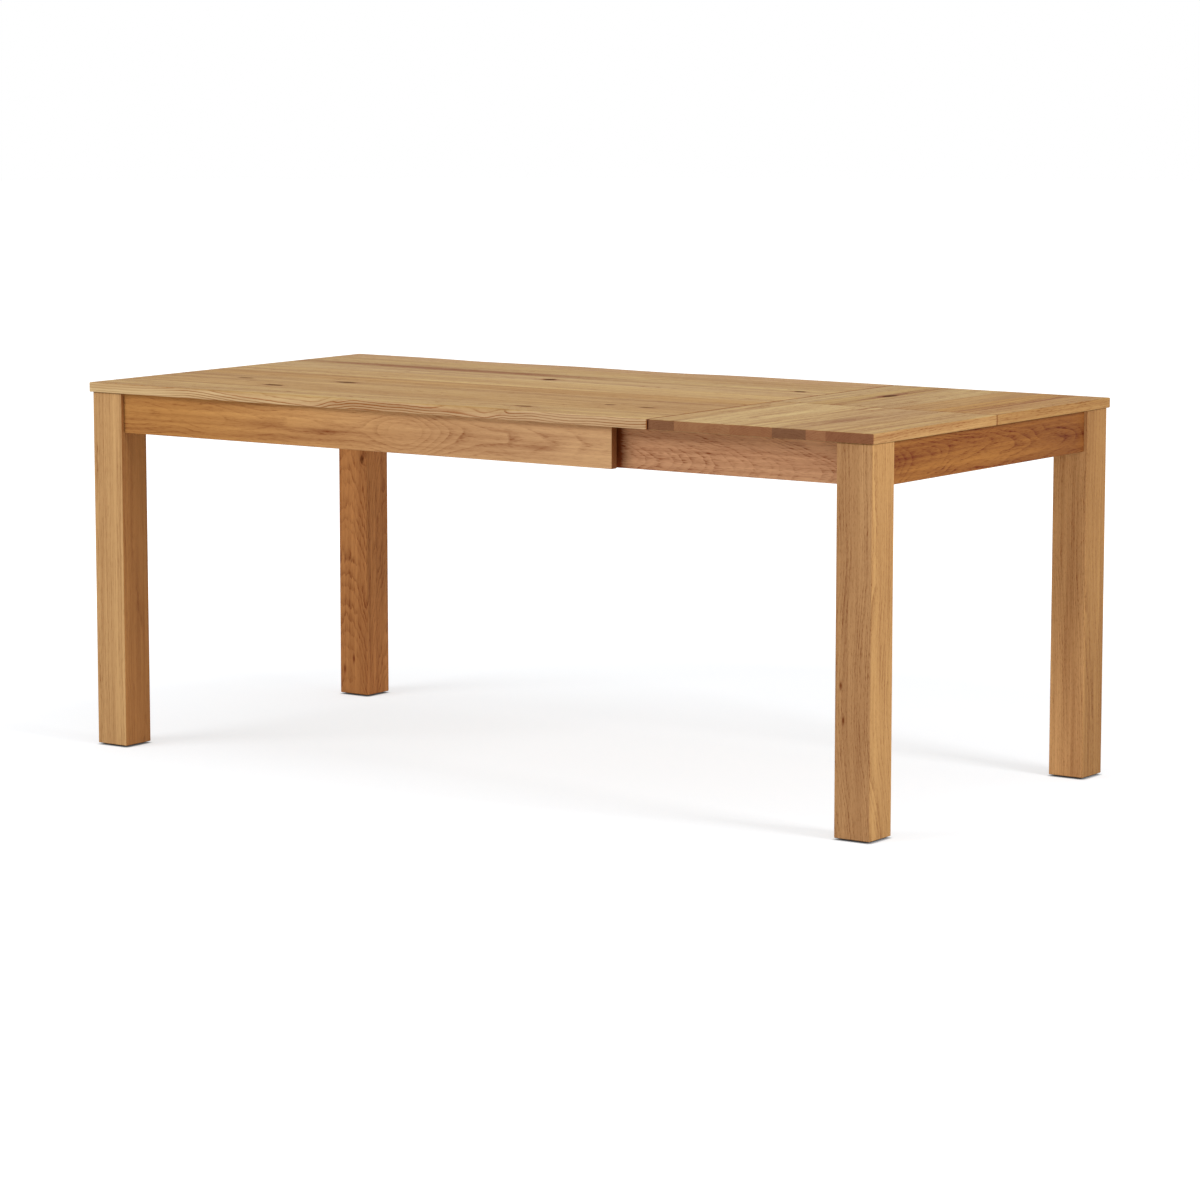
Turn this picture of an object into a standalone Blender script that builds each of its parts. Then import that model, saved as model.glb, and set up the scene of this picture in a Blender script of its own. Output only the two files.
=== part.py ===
# Extending dining table in oiled oak. A fixed frame carries the main top. An end frame with its own
# two legs draws out on ball-bearing slides, and a folding leaf lies on the part that is drawn out.
# Metres, +Z up. +X points to the end that draws out and -Y is the front.
# The origin is on the floor, under the middle of the drawn-out table.

import math

import bmesh
import bpy
from mathutils import Matrix, Vector

# Overall sizes
TABLE_HEIGHT = 0.760
TOP_WIDTH = 0.900
TOP_THICKNESS = 0.020
MAIN_TOP_LENGTH = 1.400
LEAF_LENGTH = 0.499
SEAM_GAP = 0.001
TOP_OVERHANG = 0.005

# Legs and glides
LEG_SECTION = 0.077
LEG_ARRIS = 0.0015
GLIDE_RADIUS = 0.020
GLIDE_HEIGHT = 0.003
GLIDE_STEM_RADIUS = 0.003
GLIDE_STEM_LENGTH = 0.014
GLIDE_EDGE = 0.0009

# Rails and their tenons
RAIL_HEIGHT = 0.082
RAIL_THICKNESS = 0.0175
RAIL_RECESS = 0.008
RAIL_ARRIS = 0.001
TENON_LENGTH = 0.025
TENON_THICKNESS = 0.009
TENON_SHOULDER = 0.011
CLOSED_LEG_CLEARANCE = 0.008
CLOSED_TAIL_CLEARANCE = 0.017
SLIDING_TOP_CLEARANCE = 0.0006

# Stretchers between the sliding rails
STRETCHER_WIDTH = 0.070
STRETCHER_THICKNESS = 0.020
STRETCHER_TENON = 0.008
STRETCHER_LIFT = 0.006
STRETCHER_TAIL_INSET = 0.016

# Corner blocks with their hanger bolts
BLOCK_THICKNESS = 0.028
BLOCK_HEIGHT = 0.054
LEG_CORNER_FLAT = 0.010
BOLT_RADIUS = 0.004
BOLT_DEPTH_IN_LEG = 0.022
BOLT_TAIL = 0.012
NUT_HEIGHT = 0.0065
NUT_ACROSS_CORNERS = 0.015
NUT_SIDES = 6

# Screws that hold the main top
TOP_SCREW_HEAD_RADIUS = 0.0045
TOP_SCREW_HEAD_HEIGHT = 0.003
TOP_SCREW_SHANK_RADIUS = 0.0022
TOP_SCREW_LENGTH = 0.040
TOP_SCREW_TIP = 0.0044
TOP_SCREW_CROWN = 0.0014
TOP_SCREW_COVER = 0.007
TOP_SCREW_FROM_LEG = 0.200
TOP_SCREW_FROM_RAIL_END = 0.130
TOP_SCREW_COUNT = 3

# Ball-bearing slides
SLIDE_HEIGHT = 0.045
SLIDE_DEPTH = 0.0124
SLIDE_WALL = 0.0014
SLIDE_LIP = 0.0034
RUNNER_TAIL_INSET = 0.020
RUNNER_FRONT_INSET = 0.050
CHANNEL_FRONT_INSET = 0.020
BALL_DIAMETER = 0.0042
BALL_PITCH = 0.040
BALL_SIDES = 10
BALL_RINGS = 6
CAGE_SIDE_GAP = 0.0009
CAGE_THICKNESS = 0.0012
CAGE_END_INSET = 0.015
SLIDE_SCREW_HEAD_RADIUS = 0.0034
SLIDE_SCREW_HEAD_HEIGHT = 0.0018
SLIDE_SCREW_SHANK_RADIUS = 0.0017
SLIDE_SCREW_LENGTH = 0.012
SLIDE_SCREW_TIP = 0.0034
SLIDE_SCREW_CROWN = 0.001
SLIDE_SCREW_INSET = 0.090

# Folding leaf
LEAF_SEAM_GAP = 0.0006
LEAF_ARRIS = 0.0015
FOLD_AXIS_LIFT = 0.0003
HINGE_RADIUS = 0.006
HINGE_LENGTH = 0.022
HINGE_FROM_END = 0.090

# Natural edge of the main top. Each wane is a place where the upper rim falls to the lower rim:
# its distance from the table's fixed end, how far it reaches each way, and how full it is.
WANE_WIDTH = 0.017
WANE_RIM = 0.0015
WANE_CROWN = 0.0016
TOP_ARRIS = 0.0015
FRONT_WANES = ((0.580, 0.230, 0.080, 1.0), (1.015, 0.140, 0.060, 0.96))
BACK_WANES = ((0.360, 0.100, 0.190, 0.92), (0.870, 0.210, 0.090, 1.0))
WANE_STEP = 0.020

# Fits
SEAT_GAP = 0.0003
HOLE_GAP = 0.0003
ROUND_SIDES = 20
SMALL_ROUND_SIDES = 12
SMOOTH_ANGLE = math.radians(40)

# Places worked out from the sizes above
TOTAL_LENGTH = MAIN_TOP_LENGTH + SEAM_GAP + LEAF_LENGTH
LEFT_END = -TOTAL_LENGTH / 2
RIGHT_END = TOTAL_LENGTH / 2
MAIN_TOP_END = LEFT_END + MAIN_TOP_LENGTH
LEAF_START = MAIN_TOP_END + SEAM_GAP
TRAVEL = LEAF_LENGTH + SEAM_GAP
TOP_UNDERSIDE = TABLE_HEIGHT - TOP_THICKNESS
FRAME_TOP = TOP_UNDERSIDE - SEAT_GAP
RAIL_BOTTOM = TOP_UNDERSIDE - RAIL_HEIGHT
SLIDING_RAIL_TOP = TOP_UNDERSIDE - SLIDING_TOP_CLEARANCE
RAIL_MIDDLE = (RAIL_BOTTOM + TOP_UNDERSIDE) / 2
LEG_FACE_Y = TOP_WIDTH / 2 - TOP_OVERHANG
LEG_INNER_Y = LEG_FACE_Y - LEG_SECTION
LEFT_LEG_FACE = LEFT_END + TOP_OVERHANG
LEFT_LEG_INNER = LEFT_LEG_FACE + LEG_SECTION
RIGHT_LEG_FACE = RIGHT_END - TOP_OVERHANG
RIGHT_LEG_INNER = RIGHT_LEG_FACE - LEG_SECTION
OUTER_RAIL_FACE = LEG_FACE_Y - RAIL_RECESS
OUTER_RAIL_BACK = OUTER_RAIL_FACE - RAIL_THICKNESS
OUTER_RAIL_END = RIGHT_LEG_INNER - TRAVEL - CLOSED_LEG_CLEARANCE
SLIDING_RAIL_FACE = OUTER_RAIL_BACK - SLIDE_DEPTH - 2 * SEAT_GAP
SLIDING_RAIL_BACK = SLIDING_RAIL_FACE - RAIL_THICKNESS
LEFT_END_RAIL_BACK = LEFT_LEG_FACE + RAIL_RECESS + RAIL_THICKNESS
RIGHT_END_RAIL_BACK = RIGHT_LEG_FACE - RAIL_RECESS - RAIL_THICKNESS
LEG_PROUD_OF_RAIL = LEG_SECTION - RAIL_RECESS - RAIL_THICKNESS
LEFT_BLOCK_NEAR = LEFT_END_RAIL_BACK + 2 * LEG_PROUD_OF_RAIL - LEG_CORNER_FLAT
LEFT_BLOCK_FAR = LEFT_BLOCK_NEAR + (BLOCK_THICKNESS + SEAT_GAP) * math.sqrt(2)
CLOSED_TAIL = LEFT_BLOCK_FAR + CLOSED_TAIL_CLEARANCE
SLIDING_RAIL_TAIL = CLOSED_TAIL + TRAVEL
RUNNER_START = SLIDING_RAIL_TAIL + RUNNER_TAIL_INSET
RUNNER_END = OUTER_RAIL_END - RUNNER_FRONT_INSET
CHANNEL_START = CLOSED_TAIL
CHANNEL_END = OUTER_RAIL_END - CHANNEL_FRONT_INSET
CAGE_START = RUNNER_START + CAGE_END_INSET
CAGE_LENGTH = RUNNER_END - RUNNER_START - TRAVEL / 2 - 2 * CAGE_END_INSET
STRETCHER_SPACING = LEAF_LENGTH - STRETCHER_WIDTH
FOLD_AXIS_Z = TABLE_HEIGHT + FOLD_AXIS_LIFT
FRONT, BACK = -1, 1
SIDES = {"front": FRONT, "back": BACK}

# Finishes: colour, roughness, metallic
OAK_TOP = ((0.50, 0.34, 0.16), 0.45, 0.0)
OAK_LEAF = ((0.47, 0.31, 0.14), 0.45, 0.0)
OAK_LEG = ((0.55, 0.35, 0.15), 0.50, 0.0)
OAK_RAIL = ((0.45, 0.24, 0.09), 0.50, 0.0)
BEECH_BLOCK = ((0.62, 0.42, 0.25), 0.60, 0.0)
ZINC_STEEL = ((0.62, 0.62, 0.60), 0.35, 1.0)
BRASS = ((0.70, 0.52, 0.24), 0.35, 1.0)
GLIDE_NYLON = ((0.10, 0.08, 0.07), 0.60, 0.0)


def clear_scene():
    for old in list(bpy.data.objects):
        bpy.data.objects.remove(old, do_unlink=True)


def new_collection(name):
    collection = bpy.data.collections.new(name)
    bpy.context.scene.collection.children.link(collection)
    return collection


def finish_material(name, finish):
    colour, roughness, metallic = finish
    material = bpy.data.materials.new(name)
    material.use_nodes = True
    shader = material.node_tree.nodes["Principled BSDF"]
    shader.inputs["Base Color"].default_value = (*colour, 1.0)
    shader.inputs["Roughness"].default_value = roughness
    shader.inputs["Metallic"].default_value = metallic
    return material


def add_object(name, mesh, place):
    obj = bpy.data.objects.new(name, mesh)
    obj.matrix_world = place
    return obj


def keep_part(obj, parent, finish):
    """A piece of the table, carried by the empty of the body that it moves with."""
    PARTS.objects.link(obj)
    obj.data.materials.append(finish_material(obj.name, finish))
    obj.parent = parent
    obj.matrix_parent_inverse = Matrix.Translation(parent.location).inverted()
    return obj


def keep_cutter(obj):
    CUTTERS.objects.link(obj)
    obj.hide_render = True
    obj.display_type = "WIRE"
    return obj


def box(name, low, high):
    low, high = Vector(low), Vector(high)
    size = high - low
    bm = bmesh.new()
    bmesh.ops.create_cube(bm, size=1.0, matrix=Matrix.Diagonal((*size, 1.0)))
    mesh = bpy.data.meshes.new(name)
    bm.to_mesh(mesh)
    bm.free()
    return add_object(name, mesh, Matrix.Translation((low + high) / 2))


def rod(name, start, end, radius, sides=ROUND_SIDES):
    """A round bar, or a prism of few sides, from one point to another."""
    start, end = Vector(start), Vector(end)
    way = end - start
    bm = bmesh.new()
    bmesh.ops.create_cone(bm, cap_ends=True, segments=sides, radius1=radius, radius2=radius, depth=way.length)
    mesh = bpy.data.meshes.new(name)
    bm.to_mesh(mesh)
    bm.free()
    turn = way.to_track_quat("Z", "Y").to_matrix().to_4x4()
    return add_object(name, mesh, Matrix.Translation((start + end) / 2) @ turn)


def turned(name, profile, foot, way, sides=ROUND_SIDES):
    """A turned piece: profile holds (radius, height) pairs, top to bottom, that start and end on the axis."""
    mesh = bpy.data.meshes.new(name)
    points = [(radius, 0.0, height) for radius, height in profile]
    mesh.from_pydata(points, [(i, i + 1) for i in range(len(points) - 1)], [])
    turn = Vector(way).to_track_quat("Z", "Y").to_matrix().to_4x4()
    obj = add_object(name, mesh, Matrix.Translation(foot) @ turn)
    screw = obj.modifiers.new("turn", "SCREW")
    screw.steps = sides
    screw.render_steps = sides
    screw.use_merge_vertices = True
    screw.merge_threshold = 0.00001
    return obj


def extruded(name, outline, depth, place):
    """A flat outline, drawn in its own X and Y and made thick along its Z."""
    curve = bpy.data.curves.new(name, "CURVE")
    curve.dimensions = "2D"
    curve.fill_mode = "BOTH"
    curve.extrude = depth / 2
    spline = curve.splines.new("POLY")
    spline.points.add(len(outline) - 1)
    for point, (x, y) in zip(spline.points, outline):
        point.co = (x, y, 0.0, 1.0)
    spline.use_cyclic_u = True
    drawn = bpy.data.objects.new(name + "_outline", curve)
    CUTTERS.objects.link(drawn)
    bpy.context.view_layer.update()
    mesh = bpy.data.meshes.new_from_object(drawn.evaluated_get(bpy.context.evaluated_depsgraph_get()))
    bpy.data.objects.remove(drawn, do_unlink=True)
    bm = bmesh.new()
    bm.from_mesh(mesh)
    bmesh.ops.remove_doubles(bm, verts=bm.verts, dist=0.00001)
    bmesh.ops.recalc_face_normals(bm, faces=bm.faces)
    bm.to_mesh(mesh)
    bm.free()
    mesh.name = name
    return add_object(name, mesh, place)


def ease_edges(obj, width, segments=1):
    bevel = obj.modifiers.new("arris", "BEVEL")
    bevel.width = width
    bevel.segments = segments
    bevel.limit_method = "ANGLE"


def combine(obj, other, operation):
    step = obj.modifiers.new(other.name, "BOOLEAN")
    step.operation = operation
    step.object = keep_cutter(other)


def cut(obj, other):
    combine(obj, other, "DIFFERENCE")


def join(obj, other):
    combine(obj, other, "UNION")


def grown(low, high, gap):
    """The corners of a box that is larger than another by a gap all round."""
    return [value - gap for value in low], [value + gap for value in high]


def ordered(low, high):
    return [min(a, b) for a, b in zip(low, high)], [max(a, b) for a, b in zip(low, high)]


def new_body(name, place):
    empty = bpy.data.objects.new(name, None)
    empty.location = place
    PARTS.objects.link(empty)
    return empty


# Tenons, which the rails grow and the legs are mortised for
def side_tenon(x_shoulder, way, y_face, y_back, side):
    y_middle = (y_face + y_back) / 2
    low = (x_shoulder, side * (y_middle - TENON_THICKNESS / 2), RAIL_BOTTOM + TENON_SHOULDER)
    high = (x_shoulder + way * TENON_LENGTH, side * (y_middle + TENON_THICKNESS / 2),
            FRAME_TOP - TENON_SHOULDER)
    return ordered(low, high)


def end_tenon(x_face, x_back, side):
    x_middle = (x_face + x_back) / 2
    low = (x_middle - TENON_THICKNESS / 2, side * LEG_INNER_Y, RAIL_BOTTOM + TENON_SHOULDER)
    high = (x_middle + TENON_THICKNESS / 2, side * (LEG_INNER_Y + TENON_LENGTH), FRAME_TOP - TENON_SHOULDER)
    return ordered(low, high)


def rooted(low, high, axis, towards):
    """A tenon's corners, drawn back into its rail so that the two join."""
    low, high = list(low), list(high)
    if towards > 0:
        low[axis] -= TENON_LENGTH / 2
    else:
        high[axis] += TENON_LENGTH / 2
    return low, high


def stretcher_tenon(x_start, side):
    low = (x_start, side * SLIDING_RAIL_BACK, RAIL_BOTTOM + STRETCHER_LIFT)
    high = (x_start + STRETCHER_WIDTH, side * (SLIDING_RAIL_BACK + STRETCHER_TENON),
            RAIL_BOTTOM + STRETCHER_LIFT + STRETCHER_THICKNESS)
    return ordered(low, high)


STRETCHERS = {"stretcher_tail": SLIDING_RAIL_TAIL + STRETCHER_TAIL_INSET,
              "stretcher_middle": SLIDING_RAIL_TAIL + STRETCHER_TAIL_INSET + STRETCHER_SPACING}


# Corner of a frame: the leg's inner corner, the rails' inner faces and the way to the middle
class Corner:
    def __init__(self, end, side_name):
        self.side = SIDES[side_name]
        self.name = end + "_" + side_name
        left = end == "left"
        self.inward_x = 1 if left else -1
        self.leg_face_x = LEFT_LEG_FACE if left else RIGHT_LEG_FACE
        self.leg_inner_x = LEFT_LEG_INNER if left else RIGHT_LEG_INNER
        self.rail_back_x = LEFT_END_RAIL_BACK if left else RIGHT_END_RAIL_BACK
        self.rail_back_y = OUTER_RAIL_BACK if left else SLIDING_RAIL_BACK
        self.rail_face_y = OUTER_RAIL_FACE if left else SLIDING_RAIL_FACE
        self.body = FIXED if left else SLIDING

    def place(self, along_x, along_y, z):
        """A point counted inwards from the inner faces of the end rail and the side rail."""
        x = self.rail_back_x + self.inward_x * along_x
        return Vector((x, self.side * (self.rail_back_y - along_y), z))

    def leg_reach(self):
        """How far the leg's inner faces stand proud of the rails' inner faces."""
        return abs(self.leg_inner_x - self.rail_back_x), self.rail_back_y - LEG_INNER_Y

    def block_near(self):
        """The block's near face crosses both rails this far from their inner corner."""
        return sum(self.leg_reach()) - LEG_CORNER_FLAT

    def bolt_line(self):
        """The middle of the leg's flat, the middle of the block's far face, and the way between them."""
        reach_x, reach_y = self.leg_reach()
        flat = self.place(reach_x - LEG_CORNER_FLAT / 2, reach_y - LEG_CORNER_FLAT / 2, RAIL_MIDDLE)
        way = Vector((self.inward_x, -self.side, 0.0)).normalized()
        return flat, flat + way * (BLOCK_THICKNESS + SEAT_GAP), way


def make_leg(corner):
    low = (corner.leg_face_x, corner.side * LEG_FACE_Y, GLIDE_HEIGHT)
    high = (corner.leg_inner_x, corner.side * LEG_INNER_Y, FRAME_TOP)
    leg = box("leg_" + corner.name, *ordered(low, high))
    ease_edges(leg, LEG_ARRIS, 2)
    side = side_tenon(corner.leg_inner_x, -corner.inward_x, corner.rail_face_y, corner.rail_back_y,
                      corner.side)
    end = end_tenon(corner.rail_back_x - corner.inward_x * RAIL_THICKNESS, corner.rail_back_x, corner.side)
    cut(leg, box("mortise_side_" + corner.name, *grown(*side, SEAT_GAP)))
    cut(leg, box("mortise_end_" + corner.name, *grown(*end, SEAT_GAP)))
    cut(leg, corner_flat_cutter(corner))
    flat, _, way = corner.bolt_line()
    cut(leg, rod("bolt_hole_leg_" + corner.name, flat - way * (BOLT_DEPTH_IN_LEG + HOLE_GAP),
                 flat + way * LEG_CORNER_FLAT, BOLT_RADIUS + HOLE_GAP))
    foot = glide_place(corner)
    cut(leg, rod("glide_hole_" + corner.name, foot - Vector((0, 0, GLIDE_HEIGHT)),
                 foot + Vector((0, 0, GLIDE_STEM_LENGTH + HOLE_GAP)), GLIDE_STEM_RADIUS + HOLE_GAP))
    return keep_part(leg, corner.body, OAK_LEG)


def corner_flat_cutter(corner):
    """Takes the leg's inner corner off behind the corner block, so that the block bears on a flat."""
    near = corner.block_near()
    far = near + 2 * LEG_CORNER_FLAT
    outline = [(near, 0.0), (far, 0.0), (0.0, far), (0.0, near)]
    return block_prism("corner_flat_" + corner.name, corner, outline, RAIL_BOTTOM, TOP_UNDERSIDE)


def block_prism(name, corner, outline, z_low, z_high):
    points = [corner.place(x, y, 0.0).xy for x, y in outline]
    return extruded(name, points, z_high - z_low, Matrix.Translation((0, 0, (z_low + z_high) / 2)))


def make_corner_block(corner):
    near = corner.block_near() + SEAT_GAP * math.sqrt(2)
    far = corner.block_near() + (BLOCK_THICKNESS + SEAT_GAP) * math.sqrt(2)
    gap = SEAT_GAP
    outline = [(near - gap, gap), (far - gap, gap), (gap, far - gap), (gap, near - gap)]
    z_low = RAIL_MIDDLE - BLOCK_HEIGHT / 2
    block = block_prism("corner_block_" + corner.name, corner, outline, z_low, z_low + BLOCK_HEIGHT)
    flat, face, way = corner.bolt_line()
    cut(block, rod("bolt_hole_block_" + corner.name, flat - way * LEG_CORNER_FLAT,
                   face + way * LEG_CORNER_FLAT, BOLT_RADIUS + HOLE_GAP))
    keep_part(block, corner.body, BEECH_BLOCK)


def make_corner_bolt(corner):
    flat, face, way = corner.bolt_line()
    bolt = rod("corner_bolt_" + corner.name, flat - way * BOLT_DEPTH_IN_LEG, face + way * BOLT_TAIL,
               BOLT_RADIUS)
    bolt.data.shade_smooth()
    bolt.data.set_sharp_from_angle(angle=SMOOTH_ANGLE)
    keep_part(bolt, corner.body, ZINC_STEEL)
    seat = face + way * SEAT_GAP
    nut = rod("corner_nut_" + corner.name, seat, seat + way * NUT_HEIGHT, NUT_ACROSS_CORNERS / 2, NUT_SIDES)
    cut(nut, rod("nut_bore_" + corner.name, face - way * NUT_HEIGHT, seat + way * 2 * NUT_HEIGHT,
                 BOLT_RADIUS + HOLE_GAP))
    keep_part(nut, corner.body, ZINC_STEEL)


def glide_place(corner):
    x = (corner.leg_face_x + corner.leg_inner_x) / 2
    y = corner.side * (LEG_FACE_Y + LEG_INNER_Y) / 2
    return Vector((x, y, GLIDE_HEIGHT))


def make_glide(corner):
    disc_top = -SEAT_GAP
    profile = [(0.0, GLIDE_STEM_LENGTH), (GLIDE_STEM_RADIUS, GLIDE_STEM_LENGTH - GLIDE_EDGE),
               (GLIDE_STEM_RADIUS, disc_top), (GLIDE_RADIUS, disc_top),
               (GLIDE_RADIUS, -GLIDE_HEIGHT + GLIDE_EDGE), (GLIDE_RADIUS - GLIDE_EDGE, -GLIDE_HEIGHT),
               (0.0, -GLIDE_HEIGHT)]
    glide = turned("glide_" + corner.name, profile, glide_place(corner), (0, 0, 1))
    keep_part(glide, corner.body, GLIDE_NYLON)


def make_end_rail(name, x_face, x_back, body):
    low = (x_face, -LEG_INNER_Y + SEAT_GAP, RAIL_BOTTOM)
    high = (x_back, LEG_INNER_Y - SEAT_GAP, FRAME_TOP)
    rail = box(name, *ordered(low, high))
    ease_edges(rail, RAIL_ARRIS)
    for side_name, side in SIDES.items():
        tenon = rooted(*end_tenon(x_face, x_back, side), 1, side)
        join(rail, box(name + "_tenon_" + side_name, *tenon))
    keep_part(rail, body, OAK_RAIL)


def make_outer_rail(side_name):
    side = SIDES[side_name]
    name = side_name + "_outer_rail"
    low = (LEFT_LEG_INNER + SEAT_GAP, side * OUTER_RAIL_FACE, RAIL_BOTTOM)
    high = (OUTER_RAIL_END, side * OUTER_RAIL_BACK, FRAME_TOP)
    rail = box(name, *ordered(low, high))
    ease_edges(rail, RAIL_ARRIS)
    tenon = rooted(*side_tenon(LEFT_LEG_INNER, -1, OUTER_RAIL_FACE, OUTER_RAIL_BACK, side), 0, -1)
    join(rail, box(name + "_tenon", *tenon))
    for number, x in enumerate(top_screw_places(), 1):
        cut(rail, top_screw_hole(f"{name}_hole_{number}", x, side))
        cut(rail, top_screw_counterbore(f"{name}_counterbore_{number}", x, side))
    for number, x in enumerate(channel_screw_places(), 1):
        cut(rail, slide_screw_hole(f"{name}_slide_hole_{number}", x, side, OUTER_RAIL_BACK, 1))
    keep_part(rail, FIXED, OAK_RAIL)


def make_sliding_rail(side_name):
    side = SIDES[side_name]
    name = side_name + "_sliding_rail"
    low = (SLIDING_RAIL_TAIL, side * SLIDING_RAIL_FACE, RAIL_BOTTOM)
    high = (RIGHT_LEG_INNER - SEAT_GAP, side * SLIDING_RAIL_BACK, SLIDING_RAIL_TOP)
    rail = box(name, *ordered(low, high))
    ease_edges(rail, RAIL_ARRIS)
    tenon = rooted(*side_tenon(RIGHT_LEG_INNER, 1, SLIDING_RAIL_FACE, SLIDING_RAIL_BACK, side), 0, 1)
    join(rail, box(name + "_tenon", *tenon))
    for stretcher, x_start in STRETCHERS.items():
        cut(rail, box(f"{name}_{stretcher}", *grown(*stretcher_tenon(x_start, side), SEAT_GAP)))
    for number, x in enumerate(runner_screw_places(), 1):
        cut(rail, slide_screw_hole(f"{name}_slide_hole_{number}", x, side, SLIDING_RAIL_FACE, -1))
    keep_part(rail, SLIDING, OAK_RAIL)


def make_stretcher(name, x_start):
    front_low, _ = stretcher_tenon(x_start, FRONT)
    _, back_high = stretcher_tenon(x_start, BACK)
    board = box(name, front_low, back_high)
    ease_edges(board, RAIL_ARRIS)
    keep_part(board, SLIDING, BEECH_BLOCK)


# Screws up through the outer rails into the main top
def top_screw_places():
    first = LEFT_LEG_INNER + TOP_SCREW_FROM_LEG
    last = OUTER_RAIL_END - TOP_SCREW_FROM_RAIL_END
    return [first + i * (last - first) / (TOP_SCREW_COUNT - 1) for i in range(TOP_SCREW_COUNT)]


def top_screw_point(x, side):
    """The screw's point, inside the main top."""
    return Vector((x, side * (OUTER_RAIL_FACE + OUTER_RAIL_BACK) / 2, TABLE_HEIGHT - TOP_SCREW_COVER))


def top_screw_hole(name, x, side):
    point = top_screw_point(x, side)
    return rod(name, point - Vector((0, 0, TOP_SCREW_LENGTH)), point + Vector((0, 0, HOLE_GAP)),
               TOP_SCREW_SHANK_RADIUS + HOLE_GAP)


def top_screw_counterbore(name, x, side):
    point = top_screw_point(x, side)
    bearing = point.z - TOP_SCREW_LENGTH + TOP_SCREW_HEAD_HEIGHT + SEAT_GAP
    low = Vector((point.x, point.y, RAIL_BOTTOM - RAIL_THICKNESS))
    return rod(name, low, Vector((point.x, point.y, bearing)), TOP_SCREW_HEAD_RADIUS + HOLE_GAP)


def make_top_screw(side_name, number, x):
    side = SIDES[side_name]
    profile = [(0.0, TOP_SCREW_LENGTH), (TOP_SCREW_SHANK_RADIUS, TOP_SCREW_LENGTH - TOP_SCREW_TIP),
               (TOP_SCREW_SHANK_RADIUS, TOP_SCREW_HEAD_HEIGHT),
               (TOP_SCREW_HEAD_RADIUS, TOP_SCREW_HEAD_HEIGHT), (TOP_SCREW_HEAD_RADIUS, TOP_SCREW_CROWN),
               (TOP_SCREW_HEAD_RADIUS - TOP_SCREW_CROWN, 0.0), (0.0, 0.0)]
    foot = top_screw_point(x, side) - Vector((0, 0, TOP_SCREW_LENGTH))
    screw = turned(f"top_screw_{side_name}_{number}", profile, foot, (0, 0, 1))
    keep_part(screw, FIXED, ZINC_STEEL)


# Ball-bearing slides. Their sections are drawn in depth, from the outer rail inwards, and in height.
def slide_section_place(side, x_middle):
    """Turns a section drawn in depth and height to stand across the slide, with its thickness along X."""
    depth_way = Vector((0, -side, 0))
    height_way = Vector((0, 0, 1))
    length_way = depth_way.cross(height_way)
    turn = Matrix((depth_way, height_way, length_way)).transposed().to_4x4()
    start = Vector((x_middle, side * (OUTER_RAIL_BACK - SEAT_GAP), RAIL_MIDDLE))
    return Matrix.Translation(start) @ turn


def slide_prism(name, side, outline, x_start, x_end):
    return extruded(name, outline, x_end - x_start, slide_section_place(side, (x_start + x_end) / 2))


def channel_inside():
    return SLIDE_HEIGHT / 2 - SLIDE_WALL


def channel_depth():
    """The channel stops short of the runner's web by the running gap."""
    return SLIDE_DEPTH - SLIDE_WALL - SEAT_GAP


def runner_half_height():
    return channel_inside() - BALL_DIAMETER - 2 * SEAT_GAP


def make_slide_channel(side_name):
    side = SIDES[side_name]
    half = SLIDE_HEIGHT / 2
    inside = channel_inside()
    depth = channel_depth()
    lip = inside - SLIDE_LIP
    lip_back = depth - SLIDE_WALL
    outline = [(0.0, -half), (depth, -half), (depth, -lip), (lip_back, -lip), (lip_back, -inside),
               (SLIDE_WALL, -inside), (SLIDE_WALL, inside), (lip_back, inside), (lip_back, lip),
               (depth, lip), (depth, half), (0.0, half)]
    channel = slide_prism("slide_channel_" + side_name, side, outline, CHANNEL_START, CHANNEL_END)
    for number, x in enumerate(channel_screw_places(), 1):
        cut(channel, slide_screw_hole(f"channel_hole_{side_name}_{number}", x, side, OUTER_RAIL_BACK, 1))
    keep_part(channel, FIXED, ZINC_STEEL)


def make_slide_runner(side_name):
    side = SIDES[side_name]
    half = runner_half_height()
    back = SLIDE_DEPTH
    front = 2 * SLIDE_WALL
    outline = [(back, -half), (back, half), (front, half), (front, half - SLIDE_WALL),
               (back - SLIDE_WALL, half - SLIDE_WALL), (back - SLIDE_WALL, -half + SLIDE_WALL),
               (front, -half + SLIDE_WALL), (front, -half)]
    runner = slide_prism("slide_runner_" + side_name, side, outline, RUNNER_START, RUNNER_END)
    for number, x in enumerate(runner_screw_places(), 1):
        cut(runner, slide_screw_hole(f"runner_hole_{side_name}_{number}", x, side, SLIDING_RAIL_FACE, -1))
    keep_part(runner, SLIDING, ZINC_STEEL)


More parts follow.
